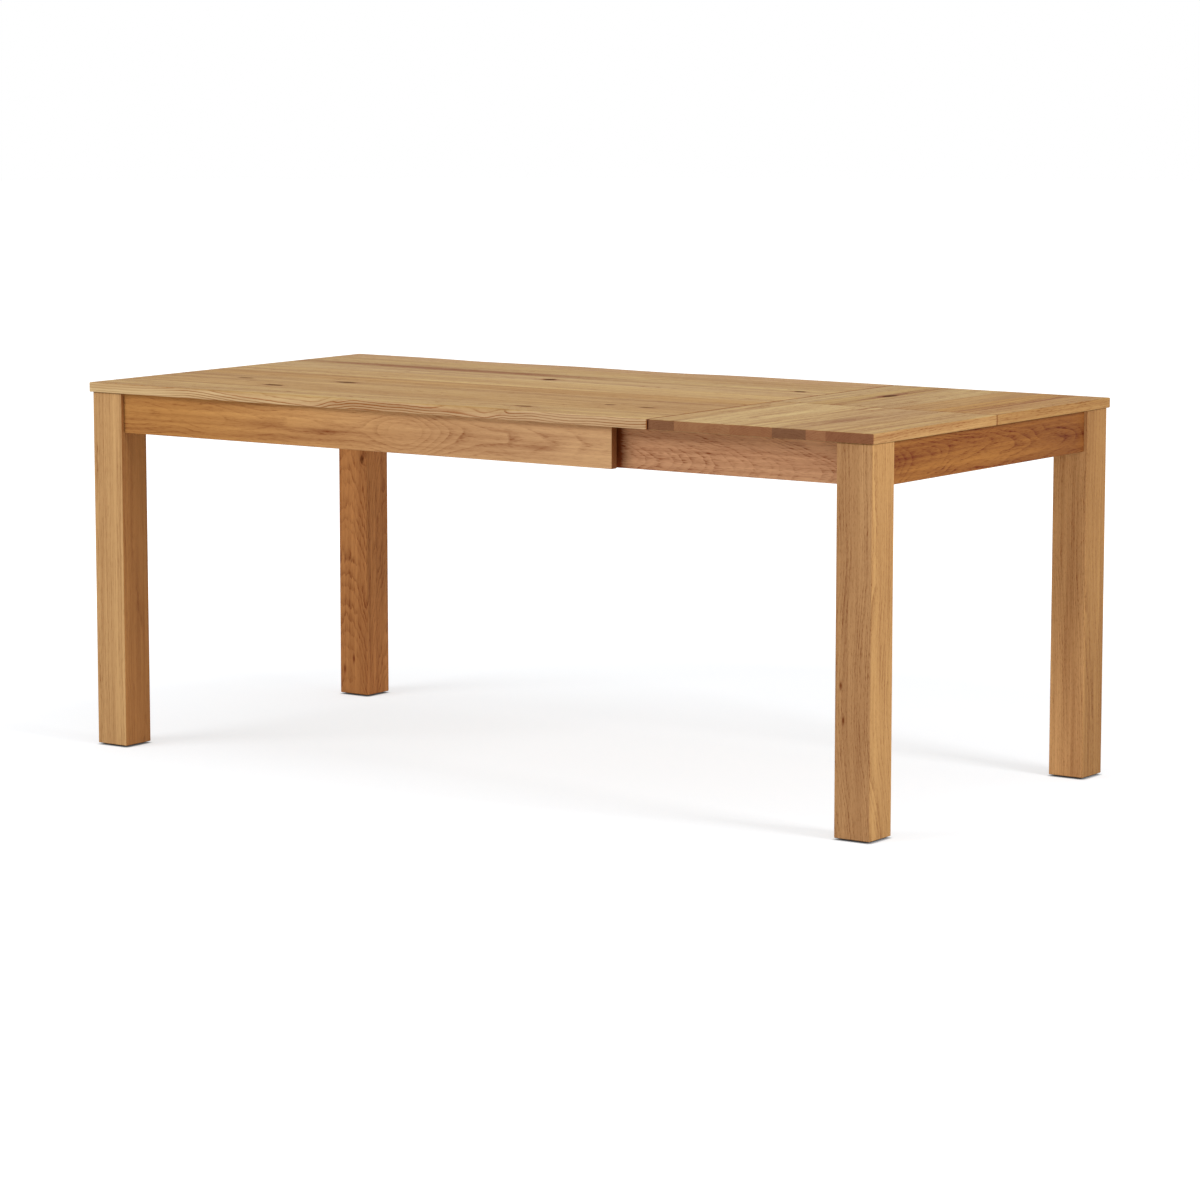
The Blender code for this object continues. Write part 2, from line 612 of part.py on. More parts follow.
def make_ball_cage(side_name, level_name, level):
    """A retainer strip with its balls, in the race between the channel's and the runner's flanges."""
    side = SIDES[side_name]
    name = f"ball_cage_{side_name}_{level_name}"
    race_y = side * (OUTER_RAIL_BACK - SEAT_GAP - channel_depth() / 2)
    race_z = RAIL_MIDDLE + level * (channel_inside() - SEAT_GAP - BALL_DIAMETER / 2)
    half_depth = channel_depth() / 2 - SLIDE_WALL - CAGE_SIDE_GAP
    low = (CAGE_START, race_y - half_depth, race_z - CAGE_THICKNESS / 2)
    high = (CAGE_START + CAGE_LENGTH, race_y + half_depth, race_z + CAGE_THICKNESS / 2)
    strip = box(name, low, high)
    count = max(1, int(CAGE_LENGTH / BALL_PITCH))
    first = CAGE_START + (CAGE_LENGTH - (count - 1) * BALL_PITCH) / 2
    bm = bmesh.new()
    for i in range(count):
        centre = Matrix.Translation((first + i * BALL_PITCH, race_y, race_z))
        bmesh.ops.create_uvsphere(bm, u_segments=BALL_SIDES, v_segments=BALL_RINGS, radius=BALL_DIAMETER / 2,
                                  matrix=centre)
    mesh = bpy.data.meshes.new(name + "_balls")
    bm.to_mesh(mesh)
    bm.free()
    join(strip, add_object(name + "_balls", mesh, Matrix.Identity(4)))
    keep_part(strip, CAGES, ZINC_STEEL)


# Screws that hold the slide members to the rails
def channel_screw_places():
    return [CHANNEL_START + SLIDE_SCREW_INSET, CHANNEL_END - SLIDE_SCREW_INSET]


def runner_screw_places():
    return [RUNNER_START + SLIDE_SCREW_INSET, RUNNER_END - SLIDE_SCREW_INSET]


def slide_screw_seat(x, side, rail_y, way):
    """Where a slide screw's head bears: way is 1 for the channel and -1 for the runner."""
    return Vector((x, side * (rail_y - way * (SEAT_GAP + SLIDE_WALL)), RAIL_MIDDLE))


def slide_screw_hole(name, x, side, rail_y, way):
    seat = slide_screw_seat(x, side, rail_y, way)
    into = Vector((0, side * way, 0))
    return rod(name, seat - into * SLIDE_WALL, seat + into * (SLIDE_SCREW_LENGTH + HOLE_GAP),
               SLIDE_SCREW_SHANK_RADIUS + HOLE_GAP)


def make_slide_screw(name, x, side, rail_y, way, body):
    outer = -SEAT_GAP - SLIDE_SCREW_HEAD_HEIGHT
    profile = [(0.0, SLIDE_SCREW_LENGTH), (SLIDE_SCREW_SHANK_RADIUS, SLIDE_SCREW_LENGTH - SLIDE_SCREW_TIP),
               (SLIDE_SCREW_SHANK_RADIUS, -SEAT_GAP), (SLIDE_SCREW_HEAD_RADIUS, -SEAT_GAP),
               (SLIDE_SCREW_HEAD_RADIUS - SLIDE_SCREW_CROWN, outer), (0.0, outer)]
    seat = slide_screw_seat(x, side, rail_y, way)
    screw = turned(name, profile, seat, (0, side * way, 0), SMALL_ROUND_SIDES)
    keep_part(screw, body, ZINC_STEEL)


# Main top: a loft of sections along X, because its long edges keep the tree's own uneven wane
def wane_share(distance, wanes):
    """How far the upper rim has fallen here, from 0 on a square edge to 1 where it meets the lower rim."""
    share = 0.0
    for centre, reach_before, reach_after, fullness in wanes:
        reach = reach_before if distance < centre else reach_after
        share = max(share, fullness * math.exp(-((distance - centre) / reach) ** 2))
    return share


def top_edge_points(distance, wanes, side, top_z):
    """The lower rim, the top of the square band, a point on the crowned wane, and the rim of the top face."""
    share = wane_share(distance, wanes)
    edge_y = TOP_WIDTH / 2
    full_band = TOP_THICKNESS - TOP_ARRIS
    band_z = TOP_UNDERSIDE + full_band - share * (full_band - WANE_RIM)
    rim_y = edge_y - TOP_ARRIS - share * WANE_WIDTH
    middle_y = (edge_y + rim_y) / 2
    middle_z = (band_z + TABLE_HEIGHT) / 2 + share * WANE_CROWN
    points = [(edge_y, TOP_UNDERSIDE), (edge_y, band_z), (middle_y, middle_z), (rim_y, TABLE_HEIGHT)]
    return [(side * y, min(z, top_z)) for y, z in points]


def main_top_sections():
    """Each section is its place along X and its points, front lower rim first, over the top to the back."""
    count = max(2, round((MAIN_TOP_LENGTH - 2 * TOP_ARRIS) / WANE_STEP))
    inner = [TOP_ARRIS + i * (MAIN_TOP_LENGTH - 2 * TOP_ARRIS) / count for i in range(count + 1)]
    sections = []
    for distance in [0.0, *inner, MAIN_TOP_LENGTH]:
        at_end = distance in (0.0, MAIN_TOP_LENGTH)
        top_z = TABLE_HEIGHT - TOP_ARRIS if at_end else TABLE_HEIGHT
        front = top_edge_points(distance, FRONT_WANES, FRONT, top_z)
        back = top_edge_points(distance, BACK_WANES, BACK, top_z)
        sections.append((LEFT_END + distance, front + back[::-1]))
    return sections


def make_main_top():
    bm = bmesh.new()
    rings = [[bm.verts.new((x, y, z)) for y, z in points] for x, points in main_top_sections()]
    for ring, following in zip(rings, rings[1:]):
        for i in range(len(ring)):
            j = (i + 1) % len(ring)
            bm.faces.new((ring[i], ring[j], following[j], following[i]))
    bm.faces.new(rings[0][::-1])
    bm.faces.new(rings[-1])
    bmesh.ops.remove_doubles(bm, verts=bm.verts, dist=0.00001)
    bmesh.ops.recalc_face_normals(bm, faces=bm.faces)
    mesh = bpy.data.meshes.new("main_top")
    bm.to_mesh(mesh)
    bm.free()
    top = add_object("main_top", mesh, Matrix.Identity(4))
    for side_name, side in SIDES.items():
        for number, x in enumerate(top_screw_places(), 1):
            cut(top, top_screw_hole(f"main_top_{side_name}_hole_{number}", x, side))
    keep_part(top, FIXED, OAK_TOP)


# Folding leaf: two halves that meet over the middle, on barrel hinges let into their edges
def hinge_places():
    return [LEAF_START + HINGE_FROM_END, RIGHT_END - HINGE_FROM_END]


def hinge_ends(x, side):
    edge = Vector((x, side * LEAF_SEAM_GAP / 2, TABLE_HEIGHT - TOP_THICKNESS / 2))
    return edge, edge + Vector((0, side * HINGE_LENGTH, 0))


def make_leaf_half(side_name, body):
    side = SIDES[side_name]
    low = (LEAF_START, side * LEAF_SEAM_GAP / 2, TOP_UNDERSIDE)
    high = (RIGHT_END, side * TOP_WIDTH / 2, TABLE_HEIGHT)
    half = box(f"leaf_{side_name}_half", *ordered(low, high))
    ease_edges(half, LEAF_ARRIS)
    for number, x in enumerate(hinge_places(), 1):
        mouth, bottom = hinge_ends(x, side)
        into = Vector((0, side, 0))
        cut(half, rod(f"hinge_bore_{side_name}_{number}", mouth - into * HINGE_RADIUS,
                      bottom + into * HOLE_GAP, HINGE_RADIUS + HOLE_GAP))
        barrel = rod(f"hinge_barrel_{side_name}_{number}", mouth, bottom, HINGE_RADIUS)
        barrel.data.shade_smooth()
        barrel.data.set_sharp_from_angle(angle=SMOOTH_ANGLE)
        keep_part(barrel, body, BRASS)
    keep_part(half, body, OAK_LEAF)


def make_frames():
    for end in ("left", "right"):
        for side_name in SIDES:
            corner = Corner(end, side_name)
            make_leg(corner)
            make_glide(corner)
            make_corner_block(corner)
            make_corner_bolt(corner)
    make_end_rail("left_end_rail", LEFT_END_RAIL_BACK - RAIL_THICKNESS, LEFT_END_RAIL_BACK, FIXED)
    make_end_rail("right_end_rail", RIGHT_END_RAIL_BACK + RAIL_THICKNESS, RIGHT_END_RAIL_BACK, SLIDING)
    for side_name in SIDES:
        make_outer_rail(side_name)
        make_sliding_rail(side_name)
    for name, x_start in STRETCHERS.items():
        make_stretcher(name, x_start)


def make_slides():
    for side_name, side in SIDES.items():
        make_slide_channel(side_name)
        make_slide_runner(side_name)
        for level_name, level in (("upper", 1), ("lower", -1)):
            make_ball_cage(side_name, level_name, level)
        for number, x in enumerate(channel_screw_places(), 1):
            make_slide_screw(f"channel_screw_{side_name}_{number}", x, side, OUTER_RAIL_BACK, 1, FIXED)
        for number, x in enumerate(runner_screw_places(), 1):
            make_slide_screw(f"runner_screw_{side_name}_{number}", x, side, SLIDING_RAIL_FACE, -1, SLIDING)


def make_tops():
    make_main_top()
    for side_name in SIDES:
        for number, x in enumerate(top_screw_places(), 1):
            make_top_screw(side_name, number, x)
    make_leaf_half("front", LEAF_FRONT)
    make_leaf_half("back", LEAF_BACK)


clear_scene()
PARTS = new_collection("extending_dining_table")
CUTTERS = new_collection("cutters")
FIXED = new_body("fixed_frame", (0, 0, 0))
SLIDING = new_body("sliding_frame", (SLIDING_RAIL_TAIL, 0, RAIL_MIDDLE))
CAGES = new_body("ball_cages", (CAGE_START, 0, RAIL_MIDDLE))
LEAF_FRONT = new_body("leaf_front", (LEAF_START, 0, TOP_UNDERSIDE))
LEAF_BACK = new_body("leaf_back", (LEAF_START, 0, FOLD_AXIS_Z))
make_frames()
make_slides()
make_tops()
bpy.context.view_layer.update()
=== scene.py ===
import math

import bmesh
import bpy
from mathutils import Matrix, Vector


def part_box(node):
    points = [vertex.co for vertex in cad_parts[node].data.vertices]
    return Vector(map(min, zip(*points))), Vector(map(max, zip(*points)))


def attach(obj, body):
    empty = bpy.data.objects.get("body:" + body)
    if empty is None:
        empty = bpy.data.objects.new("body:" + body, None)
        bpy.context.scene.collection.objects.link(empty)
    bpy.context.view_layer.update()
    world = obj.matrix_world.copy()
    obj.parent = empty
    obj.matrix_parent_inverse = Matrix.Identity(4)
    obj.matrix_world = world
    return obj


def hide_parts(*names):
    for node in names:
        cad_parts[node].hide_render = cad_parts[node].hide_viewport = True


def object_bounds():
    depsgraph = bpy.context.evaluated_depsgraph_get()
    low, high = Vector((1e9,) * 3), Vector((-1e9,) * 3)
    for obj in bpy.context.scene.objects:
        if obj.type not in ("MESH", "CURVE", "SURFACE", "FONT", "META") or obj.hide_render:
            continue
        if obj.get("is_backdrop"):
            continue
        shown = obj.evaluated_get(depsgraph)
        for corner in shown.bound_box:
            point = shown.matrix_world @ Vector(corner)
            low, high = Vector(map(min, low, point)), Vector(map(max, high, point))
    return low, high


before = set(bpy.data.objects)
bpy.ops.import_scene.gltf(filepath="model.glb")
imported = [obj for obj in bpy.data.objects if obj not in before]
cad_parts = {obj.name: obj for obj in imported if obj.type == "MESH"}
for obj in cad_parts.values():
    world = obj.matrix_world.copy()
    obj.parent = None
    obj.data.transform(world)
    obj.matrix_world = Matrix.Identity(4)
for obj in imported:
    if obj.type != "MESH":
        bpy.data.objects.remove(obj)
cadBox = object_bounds()


def linear(hexColour):
    # sRGB hex to the linear values that Blender's sockets take
    values = [int(hexColour[i:i + 2], 16) / 255 for i in (1, 3, 5)]
    return (*[v / 12.92 if v <= 0.04045 else ((v + 0.055) / 1.055) ** 2.4 for v in values], 1.0)


def plug(tree, node, links):
    # sets each named socket to a constant, a link or several links
    for name, value in links.items():
        for one in value if isinstance(value, list) else [value]:
            if isinstance(one, bpy.types.Node):
                one = one.outputs[0]
            if isinstance(one, bpy.types.NodeSocket):
                tree.links.new(one, node.inputs[name])
            else:
                node.inputs[name].default_value = one
    return node


def addNode(tree, kind, links=None, operation=None, **settings):
    # a short kind is one of Blender's ShaderNode types
    made = tree.nodes.new(kind if "Node" in kind else "ShaderNode" + kind)
    if operation:
        made.operation = operation
    for name, value in settings.items():
        setattr(made, name, value)
    return plug(tree, made, links or {})


def newObject(name, data):
    made = bpy.data.objects.new(name, data)
    bpy.context.scene.collection.objects.link(made)
    return made


def newFinish(name):
    material = bpy.data.materials.new(name)
    material.use_nodes = True
    return material, material.node_tree, material.node_tree.nodes["Principled BSDF"]


def setRamp(node, stops, between="LINEAR"):
    # stops are (position, colour or grey level) pairs from left to right
    ramp = node.color_ramp
    ramp.interpolation = between
    while len(ramp.elements) > 1:
        ramp.elements.remove(ramp.elements[-1])
    for number, (position, colour) in enumerate(stops):
        stop = ramp.elements[0] if number == 0 else ramp.elements.new(position)
        stop.position = position
        stop.color = colour if isinstance(colour, tuple) else (colour, colour, colour, 1)


def pieceName(node):
    # leg_left_front becomes legLeftFront
    label = "".join(word.title() for word in node.split("_"))
    return label[0].lower() + label[1:]


# Oiled oak. A solid pattern: growth rings round a pith that wanders along the board, so flat-sawn faces
# show arches, quartered faces straight lines and end grain arcs. Open pores darken each ring's early wood.
oakGrain = {
    "ringMm": 4.6,          # wide for a year's growth, so that rings show
    "ringWanderMm": 520, "ringRippleMm": 26,  # length of a wander and of a ripple in the rings
    "poreMm": (17, 1.3),    # real pores are 0.3 mm wide; drawn wider to show
    "streakMm": (420, 7),   # fibre streaks, long and narrow
    "cloudMm": (700, 42),   # slow changes of tone along a stave
    "darkWood": "#9C7C62",  # early wood tints the stave's tone by this
    "taper": 0.0,           # ring growth per length: rings run out of the face as pointed arches
    "ragged": 1.4, "rippleDetail": 5.0,  # how far ripples push a ring, in rings, and how finely
    "uneven": 2.2, "unevenWaves": 60.0,  # how far ring widths vary, in rings, and how often a metre
    "fadeWaves": 45.0,      # how often a metre a ring fades
    "crossWander": 0.8,     # how soon the wander changes across a stave
    "staveShift": 13.0,     # how far apart in the pattern staves may lie, in metres
    "shift": (0, 0, 0), "luckMm": 0,  # moves the pattern, for a board and by chance for a stave
    "figure": [], "marks": [],  # swellings of the trunk, and knots, stains or painted shade
    "swellLeft": 0.4, "stainLeft": 0.5, "bendLeft": 0.72,  # share of each that is left at its rim
    "knotTone": "#462304", "knotDark": 1.4,  # the dark core of a knot
    "knotRim": (1.4, 2.0), "knotRagged": 1.6,  # where the core ends, and how ragged it is there
    "poreRim": (0.5, 0.64),  # the noise is a pore above these
    "endFade": 0.7,         # how much end grain hides streaks and clouds
    "markAxis": 1,          # marks are placed across the board; 2 places them through its thickness
    "rough": 0.6, "poreRough": 0.16, "knotRough": 0.4,  # roughness, and what pores and knots add
    "poreDipMm": 0.3, "ringDip": 0.35,  # depth of a pore, and a ring's share of it
}


def oak(name, board):
    look = {**oakGrain, **board}
    material, tree, shader = newFinish(name)
    # the pattern's X runs along the grain, Y across the board and Z through it
    turn = {"x": (0, 0, 0), "y": (0, 0, -math.pi / 2), "z": (0, math.pi / 2, 0)}[look["grain"]]
    where = addNode(tree, "TexCoord").outputs
    turned = addNode(tree, "Mapping", {"Vector": where["Object"], "Rotation": turn,
                                       "Location": look["shift"]})
    axes = addNode(tree, "SeparateXYZ", {0: turned}).outputs
    along, across, deep = axes
    # how squarely a face cuts the end grain, the board's edge and its thickness
    facing = addNode(tree, "Mapping", {"Vector": where["Normal"], "Rotation": turn}, vector_type="VECTOR")
    facing = addNode(tree, "VectorMath", {0: facing}, "ABSOLUTE")
    endOn, edgeOn, flatOn = addNode(tree, "SeparateXYZ", {0: facing}).outputs

    # staves side by side: the ramp holds each one's tone, and its middle in alpha
    edges = [start for start, _ in look["staves"]] + [look["end"]]
    low, high = edges[0], edges[-1]
    parts = [(edge - low) / (high - low) for edge in edges]
    tones = [linear(tone)[:3] for _, tone in look["staves"]]
    share = addNode(tree, "MapRange", {"Value": across, "From Min": low, "From Max": high})
    stave = addNode(tree, "ValToRGB", {0: share})
    stops = zip(parts, parts[1:], tones)
    setRamp(stave, [(part, (*tone, (part + after) / 2)) for part, after, tone in stops], "CONSTANT")
    middle = addNode(tree, "MapRange", {"Value": stave.outputs["Alpha"], "To Min": low, "To Max": high})
    chance = addNode(tree, "TexWhiteNoise", {"Vector": stave}).outputs["Color"]
    luckAlong, luckPhase, luckAcross = addNode(tree, "SeparateColor", {0: chance}).outputs
    tone = stave.outputs["Color"]

    # the way from the pith, which wanders along the stave
    slide = addNode(tree, "Math", {0: luckAlong, 1: look["staveShift"], 2: along}, "MULTIPLY_ADD")
    slow = addNode(tree, "Math", {0: across, 1: look["crossWander"]}, "MULTIPLY")
    path = addNode(tree, "CombineXYZ", {0: slide, 1: slow, 2: luckPhase})
    wander = addNode(tree, "TexNoise", {"Vector": path, "Scale": 1000 / look["ringWanderMm"],
                                        "Detail": 2.0, "Roughness": 0.45}).outputs["Color"]
    offset = addNode(tree, "Math", {0: across, 1: middle}, "SUBTRACT")
    offset = addNode(tree, "Math", {0: luckAcross, 1: look["luckMm"] / 1000, 2: offset}, "MULTIPLY_ADD")
    depth = deep
    if "wane" in look:
        # the rings keep to the tree's own surface where the edge was left natural
        drop = addNode(tree, "Attribute", attribute_name="waneDrop").outputs["Fac"]
        depth = addNode(tree, "Math", {0: deep, 1: drop}, "ADD")
    offset = addNode(tree, "CombineXYZ", {0: offset, 1: depth})
    sway = [size / 1000 for size in look["swayMm"]]
    pith = [size / 1000 + swing / 2 for size, swing in zip(look["pithMm"], sway)]
    offset = addNode(tree, "VectorMath", {0: wander, 1: (*sway, 0), 2: offset}, "MULTIPLY_ADD")
    offset = addNode(tree, "VectorMath", {0: offset, 1: (*pith, 0)}, "SUBTRACT")
    radius = addNode(tree, "VectorMath", {0: offset}, "LENGTH").outputs["Value"]
    radius = addNode(tree, "Math", {0: along, 1: look["taper"], 2: radius}, "MULTIPLY_ADD")
    for along0, reach, bend in look["figure"]:
        # the face cuts a swelling of the trunk as nested ovals
        run = addNode(tree, "Math", {0: along, 1: 1 / reach, 2: -along0 / reach}, "MULTIPLY_ADD")
        run = addNode(tree, "Math", {0: run, 1: run}, "MULTIPLY")
        swell = addNode(tree, "Math", {0: look["swellLeft"], 1: run}, "POWER")
        radius = addNode(tree, "Math", {0: swell, 1: bend / 1000, 2: radius}, "MULTIPLY_ADD")

    ripplePath = addNode(tree, "VectorMath", {0: turned, 1: (0.3, 1.0, 1.0)}, "MULTIPLY")
    ripple = addNode(tree, "TexNoise", {"Vector": ripplePath, "Scale": 1000 / look["ringRippleMm"],
                                        "Detail": look["rippleDetail"], "Roughness": 0.6})

    # stains, and painted shade at seams and slots, darken the wood; a mark with a bend is a knot, which turns
    # the rings aside and has a dark core
    marks = knots = None
    rimStart, rimEnd = look["knotRim"]
    markPlane = addNode(tree, "CombineXYZ", {0: along, 1: axes[look["markAxis"]]})
    for along0, across0, length, width, bend, dark in look["marks"]:
        spot = addNode(tree, "VectorMath", {0: markPlane, 1: (along0, across0, 0)}, "SUBTRACT")
        spot = addNode(tree, "VectorMath", {0: spot, 1: (length, width, 1)}, "DIVIDE")
        squared = addNode(tree, "VectorMath", {0: spot, 1: spot}, "DOT_PRODUCT").outputs["Value"]
        sharp = addNode(tree, "Math", {0: look["stainLeft"], 1: squared}, "POWER")
        if bend:
            wide = addNode(tree, "Math", {0: look["bendLeft"], 1: squared}, "POWER")
            radius = addNode(tree, "Math", {0: wide, 1: bend / 1000, 2: radius}, "MULTIPLY_ADD")
            rim = addNode(tree, "Math", {0: ripple, 1: look["knotRagged"], 2: squared}, "MULTIPLY_ADD")
            core = addNode(tree, "MapRange", {"Value": rim, "From Min": rimStart, "From Max": rimEnd,
                                              "To Min": min(1.0, look["knotDark"] * dark), "To Max": 0.0})
            knots = addNode(tree, "Math", {0: core, 1: knots or 0.0}, "MAXIMUM")
        marks = addNode(tree, "Math", {0: sharp, 1: dark, 2: marks or 0.0}, "MULTIPLY_ADD")

    # growth rings, uneven in width and a little ragged
    years = addNode(tree, "TexNoise", {"W": radius, "Scale": look["unevenWaves"], "Detail": 1.0},
                    noise_dimensions="1D")
    phase = addNode(tree, "Math", {0: radius, 1: 1000 / look["ringMm"], 2: luckPhase}, "MULTIPLY_ADD")
    phase = addNode(tree, "Math", {0: ripple, 1: look["ragged"], 2: phase}, "MULTIPLY_ADD")
    phase = addNode(tree, "Math", {0: years, 1: look["uneven"], 2: phase}, "MULTIPLY_ADD")
    turnOfYear = addNode(tree, "Math", {0: phase}, "FRACT")
    ring = addNode(tree, "ValToRGB", {0: turnOfYear})
    setRamp(ring, [(0.0, 0.2), (0.10, 1), (0.24, 0.66), (0.55, 0.2), (1.0, 0)])
    # good years and poor ones, and stretches where a ring fades
    patchPath = addNode(tree, "VectorMath", {0: turned, 1: (0.25, 1.0, 1.0)}, "MULTIPLY")
    patch = addNode(tree, "TexNoise", {"Vector": patchPath, "Scale": look["fadeWaves"], "Detail": 2.0})
    vigour = addNode(tree, "Math", {0: years, 1: patch}, "ADD")
    vigour = addNode(tree, "MapRange", {"Value": vigour, "From Min": 0.75, "From Max": 1.3,
                                        "To Min": 0.05, "To Max": 1.0})
    ring = addNode(tree, "Math", {0: ring, 1: vigour}, "MULTIPLY")

    # streaks, clouds and pores, each drawn out along the grain
    fibre = addNode(tree, "CombineXYZ", {0: slide, 1: across, 2: deep})
    drawn = {}
    for label in ("pore", "streak", "cloud"):
        length, width = look[label + "Mm"]
        stretched = addNode(tree, "VectorMath", {0: fibre, 1: (width / length, 1, 1)}, "MULTIPLY")
        drawn[label] = addNode(tree, "TexNoise", {"Vector": stretched, "Scale": 1000 / width,
                                                  "Detail": 2.5, "Roughness": 0.55})
    poreStart, poreEnd = look["poreRim"]
    pore = addNode(tree, "MapRange", {"Value": drawn["pore"], "From Min": poreStart, "From Max": poreEnd})
    early = addNode(tree, "Math", {0: ring, 1: 0.7, 2: 0.3}, "MULTIPLY_ADD")
    pore = addNode(tree, "Math", {0: pore, 1: early}, "MULTIPLY")
    amounts = look["amounts"]      # rings, pores, streaks, clouds
    dark = addNode(tree, "Math", {0: ring, 1: amounts[0], 2: marks or 0.0}, "MULTIPLY_ADD")
    if "edgeRings" in look:
        # a natural edge cuts the rings square, so there they are fine close lines with hardly a pore
        strength, first, last = look["edgeRings"]
        edge = addNode(tree, "MapRange", {"Value": edgeOn, "From Min": 0.45, "From Max": 0.95})
        fewer = addNode(tree, "Math", {0: edge, 1: -0.8, 2: 1.0}, "MULTIPLY_ADD")
        pore = addNode(tree, "Math", {0: pore, 1: fewer}, "MULTIPLY")
        line = addNode(tree, "ValToRGB", {0: turnOfYear})
        setRamp(line, [(0.0, 0), (0.08, 1), (0.2, 1), (0.4, 0)])
        grows = addNode(tree, "MapRange", {"Value": along, "From Min": first, "From Max": last,
                                           "To Min": 0.15, "To Max": strength})
        line = addNode(tree, "Math", {0: line, 1: grows}, "MULTIPLY")
        dark = addNode(tree, "Math", {0: line, 1: edge, 2: dark}, "MULTIPLY_ADD")
    dark = addNode(tree, "Math", {0: pore, 1: amounts[1], 2: dark}, "MULTIPLY_ADD")
    cut = addNode(tree, "MapRange", {"Value": endOn, "From Min": 0.3, "From Max": 0.75})
    for label, amount in zip(("streak", "cloud"), amounts[2:]):
        # end grain hardly shows them
        hidden = -look["endFade"] * amount
        amount = addNode(tree, "Math", {0: cut, 1: hidden, 2: amount}, "MULTIPLY_ADD")
        tint = addNode(tree, "MapRange", {"Value": drawn[label], "From Min": 0.3, "From Max": 0.7})
        dark = addNode(tree, "Math", {0: tint, 1: amount, 2: dark}, "MULTIPLY_ADD", use_clamp=True)

    layers = []      # (share, tone) pairs over the staves' own tones
    if "drift" in look:
        # the board's own change of tone from one end to the other
        first, last, farTone = look["drift"]
        far = addNode(tree, "MapRange", {"Value": along, "From Min": first, "From Max": last},
                      interpolation_type="SMOOTHSTEP")
        layers.append((far, linear(farTone)))
    if "sideTone" in look:
        # the two pairs of faces are cut from different boards
        side = addNode(tree, "Math", {0: flatOn, 1: 0.6}, "GREATER_THAN")
        layers.append((side, linear(look["sideTone"])))
    if "edgeTone" in look:
        # the long edges' own tone, which changes along them
        side = addNode(tree, "MapRange", {"Value": edgeOn, "From Min": 0.5, "From Max": 0.85})
        near, far, first, last = look["edgeTone"]
        run = addNode(tree, "MapRange", {"Value": along, "From Min": first, "From Max": last})
        rim = addNode(tree, "Mix", {0: run, 6: linear(near), 7: linear(far)}, data_type="RGBA")
        layers.append((side, rim.outputs[2]))
    if "endTones" in look:
        # end grain drinks more oil, so it goes darker, stave by stave
        endStave = addNode(tree, "ValToRGB", {0: share})
        setRamp(endStave, zip(parts, map(linear, look["endTones"])), "CONSTANT")
        layers.append((cut, endStave))
    for cover, over in layers:
        tone = addNode(tree, "Mix", {0: cover, 6: tone, 7: over}, data_type="RGBA").outputs[2]
    darkTone = addNode(tree, "Mix", {0: 1.0, 6: tone, 7: linear(look["darkWood"])}, data_type="RGBA",
                       blend_type="MULTIPLY").outputs[2]
    colour = addNode(tree, "Mix", {0: dark, 6: tone, 7: darkTone}, data_type="RGBA").outputs[2]

    # pores are open and dull, so they dip and catch less light
    rough = addNode(tree, "Math", {0: pore, 1: look["poreRough"], 2: look["rough"]}, "MULTIPLY_ADD")
    dip = addNode(tree, "Math", {0: ring, 1: look["ringDip"], 2: pore}, "MULTIPLY_ADD")
    bump = addNode(tree, "Bump", {"Strength": 0.35, "Distance": look["poreDipMm"] / 1000, "Height": dip},
                   invert=True)
    if knots:
        colour = addNode(tree, "Mix", {0: knots, 6: colour, 7: linear(look["knotTone"])},
                         data_type="RGBA").outputs[2]
        rough = addNode(tree, "Math", {0: knots, 1: look["knotRough"], 2: rough}, "MULTIPLY_ADD",
                        use_clamp=True)
    plug(tree, shader, {"Base Color": colour, "Roughness": rough, "Normal": bump, "IOR": 1.5,
                        "Specular IOR Level": 0.1})      # oil leaves little shine
    return material


def place(name, mesh, body, nodes, material):
    # a finished piece that stands for the named CAD nodes
    mesh.materials.clear()
    mesh.materials.append(material)
    piece = newObject(name, mesh)
    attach(piece, body)
    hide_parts(*nodes)


def plainMesh(name, piece):
    # the piece's mesh with its modifiers applied, in place of the piece
    bpy.context.view_layer.update()
    mesh = bpy.data.meshes.new_from_object(piece.evaluated_get(bpy.context.evaluated_depsgraph_get()))
    piece.modifiers.clear()
    bpy.data.objects.remove(piece, do_unlink=True)
    mesh.name = name
    return mesh


def softened(name, mesh):
    # rounded light on the eased edges: large faces keep their own normals
    mesh.shade_smooth()
    mesh.set_sharp_from_angle(angle=math.radians(52))
    piece = newObject(name, mesh)
    weighted = piece.modifiers.new("evenLight", "WEIGHTED_NORMAL")
    weighted.keep_sharp = True
    weighted.weight = 80
    return plainMesh(name, piece)


def cadCopy(node):
    # the CAD piece's own shape, welded and with its flat faces whole again
    bm = bmesh.new()
    bm.from_mesh(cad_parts[node].data)
    bmesh.ops.remove_doubles(bm, verts=bm.verts, dist=0.00002)
    bmesh.ops.dissolve_limit(bm, angle_limit=math.radians(0.4), verts=bm.verts, edges=bm.edges)
    mesh = bpy.data.meshes.new(node)
    bm.to_mesh(mesh)
    bm.free()
    return softened(node, mesh)


